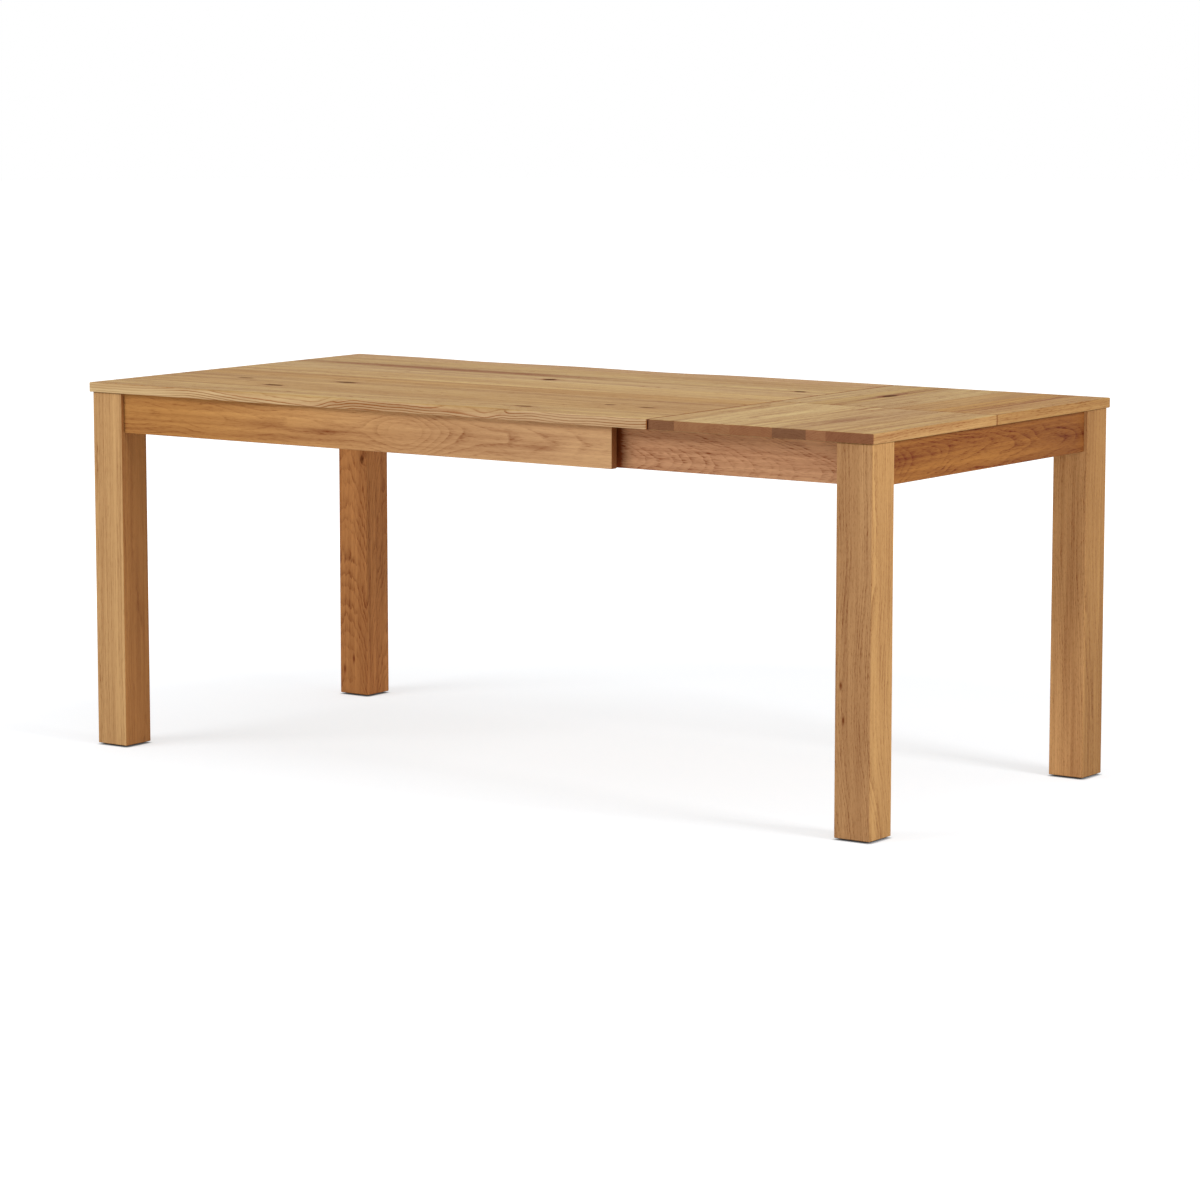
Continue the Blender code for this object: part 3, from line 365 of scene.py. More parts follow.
# Main top: full-length staves, with the long edges left as the tree grew
mainTop = {
    "stepMm": 4, "arrisMm": 1.5, "seamArrisMm": 3.0, "lowerArrisMm": 0.8,
    "waneMm": 17, "rimMm": 1.5, "crownMm": 1.6,
    # where the upper rim falls to the lower one: metres from the fixed end, reach before and after, fullness
    "frontWanes": [(0.580, 0.230, 0.080, 1.0), (1.015, 0.140, 0.060, 0.96)],
    "backWanes": [(0.360, 0.100, 0.190, 0.92), (0.870, 0.210, 0.090, 1.0)],
    "inwardMm": [4, 10, 18, 28, 40, 55, 75, 100, 140],
    # how far the rings have fallen with the tree's surface: metres from the fixed end, mm
    "frontFall": [(0.06, 0), (0.25, 7), (0.42, 15), (0.53, 20), (0.58, 20), (0.65, 8), (0.70, 3), (0.80, 6),
                  (0.90, 12), (1.01, 19), (1.07, 8), (1.15, 0)],
    "backFall": [(0.16, 0), (0.30, 12), (0.36, 17), (0.46, 10), (0.60, 2), (0.74, 10), (0.87, 19), (0.95, 6),
                 (1.02, 0)],
    "fadeMm": 75,                  # how far in from the rim the rings still follow the wane
    "oak": {
        "grain": "x", "end": 0.45, "wane": True, "pithMm": (0, 690), "swayMm": (26, 60), "luckMm": 60,
        "staves": [(-0.45, "#C7A76C"), (-0.335, "#C09C60"), (-0.235, "#C19E63"), (-0.115, "#BE9758"),
                   (-0.03, "#CCAC70"), (0.095, "#CAAC76"), (0.185, "#C7A970"), (0.275, "#C6A66C"),
                   (0.365, "#C8A572")],
        "endTones": ["#8A5F42", "#94694A", "#835A40", "#8E6448", "#976C4D", "#865C41", "#80583F", "#8F6547",
                     "#8B6144"],
        "amounts": (0.26, 0.50, 0.36, 0.30), "ringMm": 3.4, "ragged": 0.9,
        # along the long edges: the tones at both ends of a stretch, and where the ring lines come in
        "edgeTone": ("#E8D09D", "#DEBF93", -0.9, 0.1), "edgeRings": (0.42, -0.80, -0.66),
        "streakMm": (620, 11), "darkWood": "#A06C40",
        # knots, stains and painted shade: along, across, half length, half width in metres, ring bend in mm,
        # darkness
        "marks": [(-0.52, 0.230, 0.34, 0.026, 0, 0.52), (-0.205, 0.146, 0.014, 0.013, 9, 1.0),
                  (0.375, 0.206, 0.014, 0.008, 7, 0.7), (-0.51, -0.15, 0.026, 0.009, 10, 0.7),
                  (-0.75, -0.186, 0.020, 0.008, 8, 0.42), (-0.595, -0.284, 0.022, 0.009, 9, 0.9),
                  (0.105, -0.37, 0.020, 0.009, 9, 0.4), (0.225, -0.25, 0.012, 0.006, 6, 0.5),
                  (0.32, -0.258, 0.020, 0.008, 7, 0.4), (0.2, 0.32, 0.20, 0.014, 0, 0.3),
                  (0.4500, 0.0, 0.002, 9.0, 0, 0.8)],      # painted shade along the seam where the top meets the leaf
    },
}


def waneShare(distance, wanes):
    share = 0.0
    for middle, before, after, fullness in wanes:
        reach = before if distance < middle else after
        share = max(share, fullness * math.exp(-((distance - middle) / reach) ** 2))
    # the tree's own small unevenness
    ripples = ((0.5, 41, 0), (0.3, 97, 1.3), (0.2, 173, 0.4))
    wobble = sum(size * math.sin(distance * rate + start) for size, rate, start in ripples)
    return min(1.0, max(0.0, share * (1 + 0.05 * wobble)))


def edgeProfile(distance, wanes, falls, high, low, top):
    # (across, height, ring fall) from the lower rim over the wane and in along the top face
    arris, lowerArris = top["arrisMm"] / 1000, top["lowerArrisMm"] / 1000
    share = waneShare(distance, wanes)
    full = high.z - low.z - arris
    bandZ = low.z + full - share * (full - top["rimMm"] / 1000)
    rimY = high.y - arris - share * top["waneMm"] / 1000
    corner = Vector((high.y, high.z))
    start, end = Vector((high.y, bandZ)), Vector((rimY, high.z))
    outward = Vector((end.y - start.y, start.x - end.x)).normalized()
    bulge = (start + end) / 2 + outward * 2 * share * top["crownMm"] / 1000
    control = corner.lerp(bulge, min(1.0, share * 1.7))
    drop = 0.0
    for (x0, fall0), (x1, fall1) in zip(falls, falls[1:]):
        if x0 <= distance <= x1:
            t = (distance - x0) / (x1 - x0)
            drop = (fall0 + (fall1 - fall0) * t * t * (3 - 2 * t)) / 1000
    points = [(high.y - lowerArris, low.z, drop), (high.y - lowerArris * 0.3, low.z + lowerArris * 0.3, drop),
              (high.y, low.z + lowerArris, drop), (high.y, (low.z + lowerArris + bandZ) / 2, drop)]
    for i in range(9):
        t = i / 8
        spot = start * (1 - t) ** 2 + control * 2 * t * (1 - t) + end * t * t
        points.append((spot.x, spot.y, drop))
    for inward in top["inwardMm"]:
        points.append((rimY - inward / 1000, high.z, drop * math.exp(-(inward / top["fadeMm"]) ** 2)))
    return points


def buildMainTop(top):
    low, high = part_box("main_top")
    length, arris = high.x - low.x, top["arrisMm"] / 1000
    steps = round(length * 1000 / top["stepMm"])
    seam = top["seamArrisMm"] / 1000
    stations = [(0.0, arris), (arris * 0.3, arris * 0.3)]
    stations += [(arris + i * (length - arris - seam) / steps, 0.0) for i in range(steps + 1)]
    stations += [(length - seam * 0.3, seam * 0.3), (length, seam)]
    bm = bmesh.new()
    drops = []
    rings = []
    for distance, lowered in stations:
        front = edgeProfile(distance, top["frontWanes"], top["frontFall"], high, low, top)
        back = edgeProfile(distance, top["backWanes"], top["backFall"], high, low, top)
        ring = []
        for y, z, drop in [(-y, z, d) for y, z, d in front] + back[::-1]:
            ring.append(bm.verts.new((low.x + distance, y, min(z, high.z - lowered))))
            drops.append(drop)
        rings.append(ring)
    count = len(rings[0])
    for ring, following in zip(rings, rings[1:]):
        for i in range(count):
            j = (i + 1) % count
            bm.faces.new((ring[i], ring[j], following[j], following[i]))
    for ring in (rings[0], rings[-1]):
        # each end is a strip between the front and back halves of the profile
        for i in range(count // 2 - 1):
            bm.faces.new((ring[i], ring[i + 1], ring[count - 2 - i], ring[count - 1 - i]))
    bmesh.ops.recalc_face_normals(bm, faces=bm.faces)
    mesh = bpy.data.meshes.new("mainTop")
    bm.to_mesh(mesh)
    bm.free()
    mesh.attributes.new("waneDrop", "FLOAT", "POINT").data.foreach_set("value", drops)
    return softened("mainTop", mesh)


place("mainTop", buildMainTop(mainTop), "fixed_frame", ["main_top"],
      oak("oiledOakTop", mainTop["oak"]))
print("main top built with its natural edges")

# Folding leaf: short staves across the table, so their end grain shows along the front and back
leaf = {
    "both": {"grain": "y", "end": -0.451, "swayMm": (22, 50), "luckMm": 70,
             "amounts": (0.27, 0.56, 0.48, 0.21), "streakMm": (380, 10), "darkWood": "#A06C40"},
    # painted shade: the dark lines along the leaf's two seams
    "seams": [(0.0, -0.7, 0.002, 9.0, 0, 0.5), (0.0, -0.4515, 9.0, 0.0025, 0, 0.6)],
    "front": {
        "pithMm": (0, 680), "edgeTone": ("#BA9360", "#BB955F", -0.4, 0.0),
        "staves": [(-0.95, "#C1A066"), (-0.847, "#C1A16A"), (-0.805, "#BF9F69"), (-0.731, "#CAAD74"),
                   (-0.637, "#CFB47B"), (-0.513, "#C09F66")],
        "endTones": ["#8F5E3F", "#A06F4C", "#825A3E", "#9A6946", "#A1724D", "#875C3E"],
        "marks": [(-0.26, -0.77, 0.05, 0.016, 0, 0.3), (-0.20, -0.59, 0.22, 0.004, 0, 0.3)],
    },
    "back": {
        "pithMm": (0, 684), "edgeTone": ("#B18953", "#AD8651", 0.0, 0.4),
        "staves": [(-0.95, "#BF9859"), (-0.88, "#BE944B"), (-0.80, "#B99356"), (-0.715, "#C5A870"),
                   (-0.60, "#C0A061"), (-0.52, "#C2A56F")],
        "endTones": ["#8C5D41", "#966848", "#805A42", "#946547", "#99704F", "#865B42"],
        "marks": [(0.24, -0.572, 0.20, 0.008, 0, 0.5), (0.225, -0.574, 0.024, 0.010, 4, 1.0),
                  (0.20, -0.86, 0.25, 0.022, 0, 0.25)],
    },
}
for side in ("front", "back"):
    node = f"leaf_{side}_half"
    half = {**leaf["both"], **leaf[side], "marks": leaf[side]["marks"] + leaf["seams"]}
    place(pieceName(node), cadCopy(node), "leaf_" + side, [node],
          oak("oiledOakLeaf" + side.title(), half))
print("folding leaf dressed")


def singleBoard(node, board):
    # one timber's finish, with the pattern centred on the piece
    low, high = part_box(node)
    x, y, z = (low + high) / 2
    shift = {"x": (0, -y, -z), "y": (0, x, -z), "z": (0, -y, x)}[board["grain"]]
    reach = 0.06      # past the sides of any leg or rail
    return oak(pieceName("oiled_oak_" + node),
               {**board, "staves": [(-reach, board["tone"])], "end": reach, "shift": shift})


# Legs: square oak posts, each from its own timber; the two pairs of faces differ in tone
legs = {
    "left_front": {"body": "fixed_frame", "tone": "#D3A872", "sideTone": "#BD854E", "pithMm": (8, -95),
                   "taper": 0.004, "amounts": (0.28, 0.32, 0.26, 0.2)},
    "left_back": {"body": "fixed_frame", "tone": "#C78A51", "sideTone": "#D69357", "pithMm": (46, 20),
                  "taper": 0.15, "ragged": 3.0,
                  "marks": [(0.533, -0.027, 0.010, 0.005, 7, 0.34), (0.083, 0.0, 0.008, 0.002, 0, 0.8),
                            (0.058, 0.026, 0.008, 0.003, 0, 0.6)]},
    "right_front": {"body": "sliding_frame", "tone": "#CA9C6A", "sideTone": "#BE945E", "pithMm": (-70, 60),
                    "taper": 0.03, "figure": [(0.24, 0.2, 26)], "poreMm": (8, 1.3),
                    "amounts": (0.34, 0.46, 0.24, 0.30),
                    "marks": [(0.29, 0.026, 0.007, 0.002, 0, 0.8), (0.225, 0.02, 0.006, 0.002, 0, 0.7)]},
    "right_back": {"body": "sliding_frame", "tone": "#D8A66F", "sideTone": "#AD8350", "pithMm": (-60, 75),
                   "taper": 0.02, "figure": [(0.5, 0.18, 14)], "poreMm": (7, 1.3),
                   "amounts": (0.26, 0.40, 0.24, 0.33)},
}
for corner, leg in legs.items():
    node = "leg_" + corner
    timber = {"amounts": (0.42, 0.46, 0.28, 0.24), **leg, "grain": "z", "markAxis": 2, "swayMm": (30, 30),
              "endTones": ["#7A5335"], "ringMm": 5.6, "darkWood": "#946845"}
    place(pieceName(node), cadCopy(node), leg["body"], [node], singleBoard(node, timber))
print("legs dressed")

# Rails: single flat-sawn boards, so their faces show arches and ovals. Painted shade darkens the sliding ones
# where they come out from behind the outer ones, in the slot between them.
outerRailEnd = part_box("front_outer_rail")[1].x
slidingLow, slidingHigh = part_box("front_sliding_rail")
slidingFace = (slidingHigh.y - slidingLow.y) / 2
# painted shade in the slot behind each outer rail's end: its middle along the rail, half length and width,
# darkness
slotShadeAt, slotShadeSize, paintedSlotShade = outerRailEnd - 0.021, (0.016, 0.004), 2.0
rails = {
    "front_outer_rail": {
        "body": "fixed_frame", "grain": "x", "tone": "#CD9552", "drift": (-0.8, 0.25, "#DFB382"),
        "pithMm": (66, 2), "taper": 0.024, "figure": [(-0.135, 0.085, -13)], "ragged": 2.4,
        "ringRippleMm": 58, "rippleDetail": 2.0, "ringMm": 3.8, "amounts": (0.27, 0.36, 0.26, 0.30),
        "endTones": ["#8A5630"],
        "marks": [(-0.494, 0.0, 0.045, 0.006, 0, 0.3), (-0.345, -0.008, 0.055, 0.006, 0, 0.3),
                  (0.19, -0.008, 0.03, 0.007, 0, 0.25)]},
    "back_outer_rail": {
        "body": "fixed_frame", "grain": "x", "tone": "#C5925F", "pithMm": (-65, -6), "taper": -0.03,
        "figure": [(-0.55, 0.10, -12)]},
    "left_end_rail": {
        "body": "fixed_frame", "grain": "y", "tone": "#BC8350", "pithMm": (-60, 2), "taper": 0.04},
    "front_sliding_rail": {
        "body": "sliding_frame", "grain": "x", "tone": "#D7A47A", "pithMm": (24, -25), "taper": 0.22,
        "ragged": 1.3, "ringMm": 6.2, "ringRippleMm": 18, "rippleDetail": 3.0,
        "amounts": (0.25, 0.62, 0.28, 0.24), "markAxis": 1,
        "marks": [(slotShadeAt, -slidingFace, *slotShadeSize, 0, paintedSlotShade)]},
    "back_sliding_rail": {
        "body": "sliding_frame", "grain": "x", "tone": "#BE8C64", "pithMm": (-55, 12), "taper": 0.05,
        "markAxis": 1, "marks": [(slotShadeAt, slidingFace, *slotShadeSize, 0, paintedSlotShade)]},
    "right_end_rail": {
        "body": "sliding_frame", "grain": "y", "tone": "#A16D33", "pithMm": (58, -7), "taper": 0.05,
        "drift": (-0.05, 0.35, "#8F5C2B"),
        "figure": [(-0.37, 0.07, -9)], "ragged": 9.0, "ringMm": 3.8, "ringRippleMm": 80, "rippleDetail": 1.6,
        "darkWood": "#94562A", "amounts": (0.38, 0.56, 0.34, 0.5)},
}
for node, rail in rails.items():
    board = {"amounts": (0.42, 0.42, 0.26, 0.24), "markAxis": 2, "swayMm": (34, 16),
             "endTones": ["#6E452A"], "darkWood": "#8E5A36", **rail}
    place(pieceName(node), cadCopy(node), rail["body"], [node], singleBoard(node, board))
print("rails dressed")

# Beech, planed and left bare: pale pinkish wood, dotted with short dark ray flecks
beechGrain = {"pale": "#D8B48E", "deep": "#BD9068", "fleckMm": (3.2, 0.7), "fibreMm": (160, 3)}


def beech(name, turn, grain):
    material, tree, shader = newFinish(name)
    where = addNode(tree, "TexCoord").outputs
    turned = addNode(tree, "Mapping", {"Vector": where["Object"], "Rotation": (0, 0, turn)})
    shades = []
    for length, width in (grain["fleckMm"], grain["fibreMm"]):
        drawn = addNode(tree, "VectorMath", {0: turned, 1: (width / length, 1, 1)}, "MULTIPLY")
        shades.append(addNode(tree, "TexNoise", {"Vector": drawn, "Scale": 1000 / width, "Detail": 2.0}))
    fleck = addNode(tree, "MapRange", {"Value": shades[0], "From Min": 0.6, "From Max": 0.72, "To Max": 0.7})
    dark = addNode(tree, "Math", {0: shades[1], 1: 0.6, 2: fleck}, "MULTIPLY_ADD")
    colour = addNode(tree, "Mix", {0: dark, 6: linear(grain["pale"]), 7: linear(grain["deep"])},
                     data_type="RGBA", clamp_factor=True)
    bump = addNode(tree, "Bump", {"Strength": 0.25, "Distance": 0.0002, "Height": shades[1]})
    plug(tree, shader, {"Base Color": colour.outputs[2], "Normal": bump, "Roughness": 0.62, "IOR": 1.5})
    return material


# a turn about Z brings each piece's grain to the pattern's X: blocks run across their corner
hiddenFrame = {"stretcher_tail": -90, "stretcher_middle": -90, "corner_block_left_front": 45,
               "corner_block_right_back": 45, "corner_block_left_back": -45, "corner_block_right_front": -45}
beeches = {turn: beech(f"planedBeech{number}", math.radians(turn), beechGrain)
           for number, turn in enumerate(sorted(set(hiddenFrame.values())))}
for node, turn in hiddenFrame.items():
    body = "fixed_frame" if "left" in node else "sliding_frame"
    place(pieceName(node), cadCopy(node), body, [node], beeches[turn])
print("stretchers and corner blocks dressed")

# Zinc-plated steel: cool bright grey, with a faint yellow-blue bloom and lines from the rolling
zincPlate = {"grey": "#B4B8BA", "bloom": "#C2BEB0", "lineMm": (60, 0.5), "bloomMm": 25, "rough": 0.34}
# Brass, turned and left satin: warm yellow with fine rings from the tool
satinBrass = {"grey": "#B5934F", "bloom": "#C9AA66", "lineMm": (0.6, 8), "bloomMm": 12, "rough": 0.3}


def metal(name, look):
    material, tree, shader = newFinish(name)
    where = addNode(tree, "TexCoord").outputs
    length, width = look["lineMm"]
    drawn = addNode(tree, "VectorMath", {0: where["Object"], 1: (1 / length, 1 / width, 1 / width)},
                    "MULTIPLY")
    line = addNode(tree, "TexNoise", {"Vector": drawn, "Scale": 1000.0, "Detail": 1.0})
    bloom = addNode(tree, "TexNoise", {"Vector": where["Object"], "Scale": 1000 / look["bloomMm"]})
    colour = addNode(tree, "Mix", {0: bloom, 6: linear(look["grey"]), 7: linear(look["bloom"])},
                     data_type="RGBA")
    rough = addNode(tree, "Math", {0: line, 1: 0.14, 2: look["rough"] - 0.07}, "MULTIPLY_ADD")
    bump = addNode(tree, "Bump", {"Strength": 0.15, "Distance": 0.00005, "Height": line})
    plug(tree, shader, {"Base Color": colour.outputs[2], "Roughness": rough, "Normal": bump, "Metallic": 1.0})
    return material


zinc, brass = metal("zincPlatedSteel", zincPlate), metal("satinBrass", satinBrass)

# Nylon, moulded: near black brown, dull, with a fine eggshell skin
nylonSkin = {"dark": "#241E1A", "light": "#352C26", "grainMm": 0.9}
nylon, tree, shader = newFinish("mouldedNylon")
where = addNode(tree, "TexCoord").outputs
skin = addNode(tree, "TexNoise", {"Vector": where["Object"], "Scale": 1000 / nylonSkin["grainMm"]})
colour = addNode(tree, "Mix", {0: skin, 6: linear(nylonSkin["dark"]), 7: linear(nylonSkin["light"])},
                 data_type="RGBA")
bump = addNode(tree, "Bump", {"Strength": 0.3, "Distance": 0.0001, "Height": skin})
plug(tree, shader, {"Base Color": colour.outputs[2], "Normal": bump, "Roughness": 0.55, "IOR": 1.53})

for node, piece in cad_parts.items():
    if node.startswith(("slide_channel", "slide_runner", "glide")):
        piece.data.materials.clear()
        piece.data.materials.append(nylon if node.startswith("glide") else zinc)
print("slides and glides finished")


def newTree(name, *sizes):
    # a Geometry Nodes tree with a named input for each size, and one for the finish
    tree = bpy.data.node_groups.new(name, "GeometryNodeTree")
    kinds = {"Geometry": "NodeSocketGeometry", "count": "NodeSocketInt", "finish": "NodeSocketMaterial"}
    for label in ("Geometry", *sizes, "finish"):
        tree.interface.new_socket(label, in_out="INPUT", socket_type=kinds.get(label, "NodeSocketFloat"))
    tree.interface.new_socket("Geometry", in_out="OUTPUT", socket_type="NodeSocketGeometry")
    return tree, addNode(tree, "NodeGroupInput").outputs


def standing(tree, shape, length):
    # lifts a shape from its middle to its foot
    half = addNode(tree, "Math", {0: length, 1: 0.5}, "MULTIPLY")
    lift = addNode(tree, "CombineXYZ", {2: half})
    return addNode(tree, "GeometryNodeTransform", {"Geometry": shape, "Translation": lift})


def closeTree(tree, given, shape):
    # the shape stands on every point, turned so that its Z follows the point's way
    way = addNode(tree, "GeometryNodeInputNamedAttribute", {"Name": "way"}, data_type="FLOAT_VECTOR")
    turn = addNode(tree, "FunctionNodeAlignRotationToVector", {"Vector": way.outputs["Attribute"]}, axis="Z")
    placed = addNode(tree, "GeometryNodeInstanceOnPoints", {"Points": given["Geometry"], "Instance": shape,
                                                            "Rotation": turn})
    real = addNode(tree, "GeometryNodeRealizeInstances", {0: placed})
    finished = addNode(tree, "GeometryNodeSetMaterial", {"Geometry": real, "Material": given["finish"]})
    addNode(tree, "NodeGroupOutput", {"Geometry": finished})


def grow(name, tree, spots, sizes):
    # spots are (point, way) pairs; the result is a plain mesh
    seeds = bpy.data.meshes.new(name + "Seeds")
    seeds.from_pydata([tuple(point) for point, _ in spots], [], [])
    ways = seeds.attributes.new("way", "FLOAT_VECTOR", "POINT")
    for number, (_, way) in enumerate(spots):
        ways.data[number].vector = way
    seed = newObject(name + "Seeds", seeds)
    modifier = seed.modifiers.new(name, "NODES")
    modifier.node_group = tree
    for item in tree.interface.items_tree:
        if item.in_out == "INPUT" and item.name in sizes:
            modifier[item.identifier] = sizes[item.name]
    mesh = plainMesh(name, seed)
    mesh.shade_smooth()
    mesh.set_sharp_from_angle(angle=math.radians(40))
    return mesh


# Cross-head screws: three a side up into the top, and two in each slide member
screws = {
    "top": {"body": "fixed_frame", "count": 3, "ways": ((0, 0, 1), (0, 0, 1)),
            "headHeight": 0.003, "shankRadius": 0.0022},
    "channel": {"body": "fixed_frame", "count": 2, "ways": ((0, -1, 0), (0, 1, 0)),
                "headHeight": 0.0018, "shankRadius": 0.0017},
    "runner": {"body": "sliding_frame", "count": 2, "ways": ((0, 1, 0), (0, -1, 0)),
               "headHeight": 0.0018, "shankRadius": 0.0017},
}
# the cross's slots: length and width in head radii, depth in head heights, half of it sunk
screwHead = {"bevel": 0.72, "slot": (1.1, 0.22, 1.0)}
screwTree, given = newTree("crossHeadScrew", "headRadius", "headHeight", "shankRadius", "length")
bevel = addNode(screwTree, "Math", {0: given["headRadius"], 1: screwHead["bevel"]}, "MULTIPLY")
head = addNode(screwTree, "GeometryNodeMeshCone", {"Vertices": 32, "Radius Top": given["headRadius"],
                                                   "Radius Bottom": bevel, "Depth": given["headHeight"]})
shank = addNode(screwTree, "GeometryNodeMeshCylinder", {"Vertices": 20, "Radius": given["shankRadius"],
                                                        "Depth": given["length"]})
shank = standing(screwTree, shank, given["length"])
whole = addNode(screwTree, "GeometryNodeMeshBoolean", {"Mesh 2": [head, shank]}, "UNION")
size = addNode(screwTree, "CombineXYZ", {0: given["headRadius"], 1: given["headRadius"],
                                         2: given["headHeight"]})
size = addNode(screwTree, "VectorMath", {0: size, 1: screwHead["slot"]}, "MULTIPLY")
slotCut = addNode(screwTree, "GeometryNodeMeshCube", {"Size": size})
for turn in (0.0, math.pi / 2):
    slotTurned = addNode(screwTree, "GeometryNodeTransform", {"Geometry": slotCut, "Rotation": (0, 0, turn)})
    whole = addNode(screwTree, "GeometryNodeMeshBoolean", {"Mesh 1": whole, "Mesh 2": slotTurned},
                    "DIFFERENCE")
closeTree(screwTree, given, whole)
for kind, screw in screws.items():
    spots, nodes = [], []
    for side, way in zip(("front", "back"), map(Vector, screw["ways"])):
        for number in range(1, screw["count"] + 1):
            node = f"{kind}_screw_{side}_{number}"
            low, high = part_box(node)
            # the head's outer face is the end that the screw points away from
            spots.append(((low + high) / 2 - way * abs((high - low).dot(way)) / 2, way))
            nodes.append(node)
    spans = sorted(high - low)
    sizes = {**screw, "headRadius": spans[0] / 2, "length": spans[2], "finish": zinc}
    name = kind + "Screws"
    place(name, grow(name, screwTree, spots, sizes), screw["body"], nodes, zinc)
print("screws driven")

# Hanger bolts: one holds each leg to its corner block, with a hexagon nut
cornerBolt = {"rodRadius": 0.004, "threadPitch": 0.00125, "threadDepth": 0.0005,
              "rounding": 1.02}      # the ball that rounds a nut's corners, in nut radii
boltTree, given = newTree("hangerBolt", "rodRadius", "rodLength", "threadDepth", "turns", "nutAt",
                          "nutRadius", "nutHeight")
core = addNode(boltTree, "Math", {0: given["rodRadius"], 1: given["threadDepth"]}, "SUBTRACT")
rod = addNode(boltTree, "GeometryNodeMeshCylinder", {"Vertices": 24, "Radius": core,
                                                     "Depth": given["rodLength"]})
rod = standing(boltTree, rod, given["rodLength"])
helix = addNode(boltTree, "GeometryNodeCurveSpiral", {"Resolution": 20, "Rotations": given["turns"],
                                                      "Start Radius": core, "End Radius": core,
                                                      "Height": given["rodLength"]})
ridge = addNode(boltTree, "GeometryNodeCurvePrimitiveCircle", {"Resolution": 4,
                                                               "Radius": given["threadDepth"]})
thread = addNode(boltTree, "GeometryNodeCurveToMesh", {"Curve": helix, "Profile Curve": ridge,
                                                       "Fill Caps": True})
nut = addNode(boltTree, "GeometryNodeMeshCylinder", {"Vertices": 6, "Radius": given["nutRadius"],
                                                     "Depth": given["nutHeight"]})
ball = addNode(boltTree, "Math", {0: given["nutRadius"], 1: cornerBolt["rounding"]}, "MULTIPLY")
ball = addNode(boltTree, "GeometryNodeMeshUVSphere", {"Segments": 36, "Rings": 24, "Radius": ball})
nut = addNode(boltTree, "GeometryNodeMeshBoolean", {"Mesh 2": [nut, ball]}, "INTERSECT")
lift = addNode(boltTree, "CombineXYZ", {2: given["nutAt"]})
nut = addNode(boltTree, "GeometryNodeTransform", {"Geometry": nut, "Translation": lift})
closeTree(boltTree, given, addNode(boltTree, "GeometryNodeJoinGeometry", {0: [rod, thread, nut]}))
for end, body in (("left", "fixed_frame"), ("right", "sliding_frame")):
    spots, nodes = [], []
    for side in ("front", "back"):
        pair = [f"corner_{kind}_{end}_{side}" for kind in ("bolt", "nut")]
        (low, high), (nutLow, nutHigh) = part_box(pair[0]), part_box(pair[1])
        way = Vector((1 if end == "left" else -1, 1 if side == "front" else -1, 0)).normalized()
        length = (high.x - low.x) * math.sqrt(2) - 2 * cornerBolt["rodRadius"]
        start = (low + high) / 2 - way * length / 2
        spots.append((start, way))
        nodes += pair
    nutSpan = nutHigh - nutLow
    sizes = {**cornerBolt, "rodLength": length, "turns": length / cornerBolt["threadPitch"],
             "nutAt": ((nutLow + nutHigh) / 2 - start).dot(way), "nutRadius": nutSpan.z / 2,
             "nutHeight": nutSpan.x * math.sqrt(2) - nutSpan.z * math.cos(math.pi / 6), "finish": zinc}
    name = "cornerBolts" + end.title()
    place(name, grow(name, boltTree, spots, sizes), body, nodes, zinc)
print("corner bolts set")

# Ball cages: steel balls along a thin retainer strip, in the race above and below each runner
ballCage = {"ballRadius": 0.0021, "pitch": 0.040, "stripThickness": 0.0012}
cageTree, given = newTree("ballCage", "ballRadius", "pitch", "count", "first", "length", "width",
                          "stripThickness")
ball = addNode(cageTree, "GeometryNodeMeshUVSphere", {"Segments": 20, "Rings": 12,
                                                      "Radius": given["ballRadius"]})
first = addNode(cageTree, "CombineXYZ", {2: given["first"]})
step = addNode(cageTree, "CombineXYZ", {2: given["pitch"]})
row = addNode(cageTree, "GeometryNodeMeshLine", {"Count": given["count"], "Start Location": first,
                                                 "Offset": step})
balls = addNode(cageTree, "GeometryNodeInstanceOnPoints", {"Points": row, "Instance": ball})
size = addNode(cageTree, "CombineXYZ", {0: given["stripThickness"], 1: given["width"], 2: given["length"]})
strip = standing(cageTree, addNode(cageTree, "GeometryNodeMeshCube", {"Size": size}), given["length"])
closeTree(cageTree, given, addNode(cageTree, "GeometryNodeJoinGeometry", {0: [balls, strip]}))
cages = [f"ball_cage_{side}_{level}" for side in ("front", "back") for level in ("upper", "lower")]
spots = []
for node in cages:
    low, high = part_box(node)
    middle = (low + high) / 2
    spots.append((Vector((low.x, middle.y, middle.z)), Vector((1, 0, 0))))
span = high - low
count = int((span.x - 2 * ballCage["ballRadius"]) / ballCage["pitch"]) + 1
sizes = {**ballCage, "count": count, "first": (span.x - (count - 1) * ballCage["pitch"]) / 2,
         "length": span.x, "width": span.y, "finish": zinc}
place("ballCages", grow("ballCages", cageTree, spots, sizes), "ball_cages", cages, zinc)
print("ball cages filled:", count, "balls each")

# Barrel hinges: brass barrels let into the meeting edges of the leaf, with a slot for the link
hingeBarrel = {"slotShare": 0.34, "slotDepthShare": 0.45,
               "slotRoom": (1.0, 1.5, 2.0)}      # cuts past its sides, and as far out of its mouth as in
barrelTree, given = newTree("hingeBarrel", "radius", "length", "slotWidth", "slotDepth")
barrel = addNode(barrelTree, "GeometryNodeMeshCylinder", {"Vertices": 48, "Radius": given["radius"],
                                                          "Depth": given["length"]})
barrel = standing(barrelTree, barrel, given["length"])
size = addNode(barrelTree, "CombineXYZ", {0: given["slotWidth"], 1: given["radius"], 2: given["slotDepth"]})
size = addNode(barrelTree, "VectorMath", {0: size, 1: hingeBarrel["slotRoom"]}, "MULTIPLY")
slotCut = addNode(barrelTree, "GeometryNodeMeshCube", {"Size": size})
barrel = addNode(barrelTree, "GeometryNodeMeshBoolean", {"Mesh 1": barrel, "Mesh 2": slotCut}, "DIFFERENCE")
closeTree(barrelTree, given, barrel)
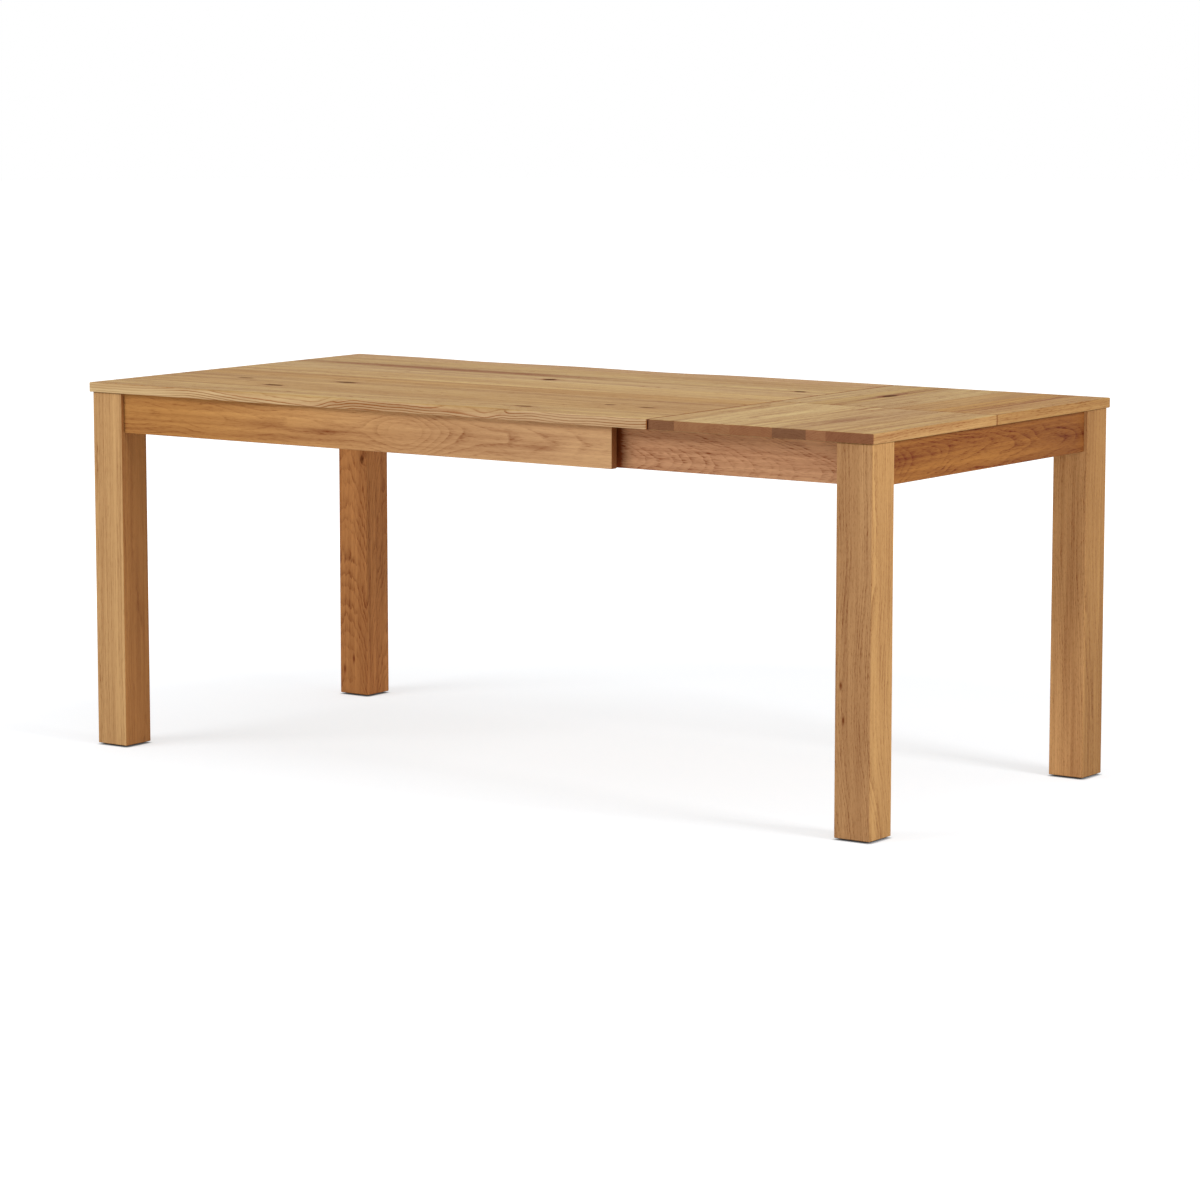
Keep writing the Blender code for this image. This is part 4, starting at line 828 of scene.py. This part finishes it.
for side, way in (("front", Vector((0, -1, 0))), ("back", Vector((0, 1, 0)))):
    nodes = [f"hinge_barrel_{side}_{i}" for i in (1, 2)]
    spots = []
    for node in nodes:
        low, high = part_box(node)
        # the mouth is at the seam, and the barrel goes into its own half
        spots.append(((low + high) / 2 - way * (high.y - low.y) / 2, way))
    radius, length = (high.z - low.z) / 2, high.y - low.y
    sizes = {"radius": radius, "length": length, "slotWidth": 2 * radius * hingeBarrel["slotShare"],
             "slotDepth": length * hingeBarrel["slotDepthShare"], "finish": brass}
    name = "hingeBarrels" + side.title()
    place(name, grow(name, barrelTree, spots, sizes), "leaf_" + side, nodes, brass)
print("hinge barrels set")

# Stage: pale floor, white surround, soft studio lamps
studio = {
    "worldLight": 0.5,
    "floorDrop": 0.0003,      # just clear of the glides, which would share its plane
    # the floor as it is seen: its glow from under the table out to the white, and what takes the shadow
    "floorGlow": 0.625, "glowReach": (1.3, 2.8), "floorShade": (0.45, 0.465, 0.485, 1),
    "gapShade": 0.008, "gapSharpness": 2.5, "paper": "#E8E6E2",
    "lamps": {
        "overhead": {"at": (0.0, 0.0, 3.6), "aim": (0, 0, 0.7), "size": (3.2, 2.4), "watts": 25},
        "key": {"at": (5.2, -0.4, 2.3), "aim": (0, 0, 0.4), "size": (1.5, 1.5), "watts": 165},
        "front": {"at": (-3.2, -5.0, 3.6), "aim": (0, 0, 0.5), "size": (3.6, 2.6), "watts": 170},
    },
    # fitted to the photograph's corners
    "camera": {"at": (4.99867, -7.07998, 1.52767), "yaw": 0.61232, "pitch": -0.13744, "lensMm": 128.46},
}
floorMesh = bpy.data.meshes.new("floor")
bm = bmesh.new()
bmesh.ops.create_circle(bm, cap_ends=True, segments=96, radius=30.0)
bm.to_mesh(floorMesh)
bm.free()
floorMesh.transform(Matrix.Translation((0, 0, -studio["floorDrop"])))
newObject("floor", floorMesh)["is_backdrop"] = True


def seenDirectly(tree):
    # rays from the camera, also by way of metal and glass
    rays = addNode(tree, "LightPath").outputs
    seen = addNode(tree, "Math", {0: rays["Is Camera Ray"], 1: rays["Is Glossy Ray"]}, "MAXIMUM")
    return addNode(tree, "Math", {0: seen, 1: rays["Is Transmission Ray"]}, "MAXIMUM")


floorFinish, tree, shader = newFinish("palePaperFloor")
tree.nodes.remove(shader)
where = addNode(tree, "TexCoord").outputs
distance = addNode(tree, "VectorMath", {0: where["Object"]}, "LENGTH").outputs["Value"]
glowStart, glowEnd = studio["glowReach"]
glow = addNode(tree, "MapRange", {"Value": distance, "From Min": glowStart, "From Max": glowEnd,
                                  "To Min": studio["floorGlow"]})
# no glow in the low gaps under the legs, so that each foot has its dark line
near = addNode(tree, "AmbientOcclusion", {"Distance": studio["gapShade"]}, samples=8).outputs["AO"]
near = addNode(tree, "Math", {0: near, 1: studio["gapSharpness"]}, "POWER")
glow = addNode(tree, "Math", {0: glow, 1: near}, "MULTIPLY")
lit = addNode(tree, "Emission", {"Strength": glow})
shade = addNode(tree, "BsdfDiffuse", {"Color": studio["floorShade"]})
both = addNode(tree, "AddShader", {0: lit, 1: shade})
paper = addNode(tree, "BsdfDiffuse", {"Color": linear(studio["paper"])})
mixed = addNode(tree, "MixShader", {0: seenDirectly(tree), 1: paper, 2: both})
plug(tree, tree.nodes["Material Output"], {"Surface": mixed})
floorMesh.materials.append(floorFinish)

world = bpy.data.worlds.new("whiteStudio")
world.use_nodes = True
bpy.context.scene.world = world
tree = world.node_tree
strength = addNode(tree, "MapRange", {"Value": seenDirectly(tree), "To Min": studio["worldLight"]})
plug(tree, tree.nodes["Background"], {"Color": (1, 1, 1, 1), "Strength": strength})

for name, lamp in studio["lamps"].items():
    data = bpy.data.lights.new(name, "AREA")
    data.shape = "RECTANGLE"
    data.size, data.size_y = lamp["size"]
    data.energy = lamp["watts"]
    light = newObject(name, data)
    light.location = lamp["at"]
    light.rotation_euler = (Vector(lamp["aim"]) - Vector(lamp["at"])).to_track_quat("-Z", "Y").to_euler()

view = studio["camera"]
cameraData = bpy.data.cameras.new("photoCamera")
cameraData.sensor_width = 36
cameraData.lens = view["lensMm"]
camera = newObject("photoCamera", cameraData)
camera.location = view["at"]
camera.rotation_euler = (math.pi / 2 + view["pitch"], 0, view["yaw"])
bpy.context.scene.camera = camera
bpy.context.scene.view_settings.view_transform = "Standard"
print("stage, lamps and camera set")

sizes = {"cad": [list(v) for v in cadBox], "visual": [list(v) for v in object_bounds()]}
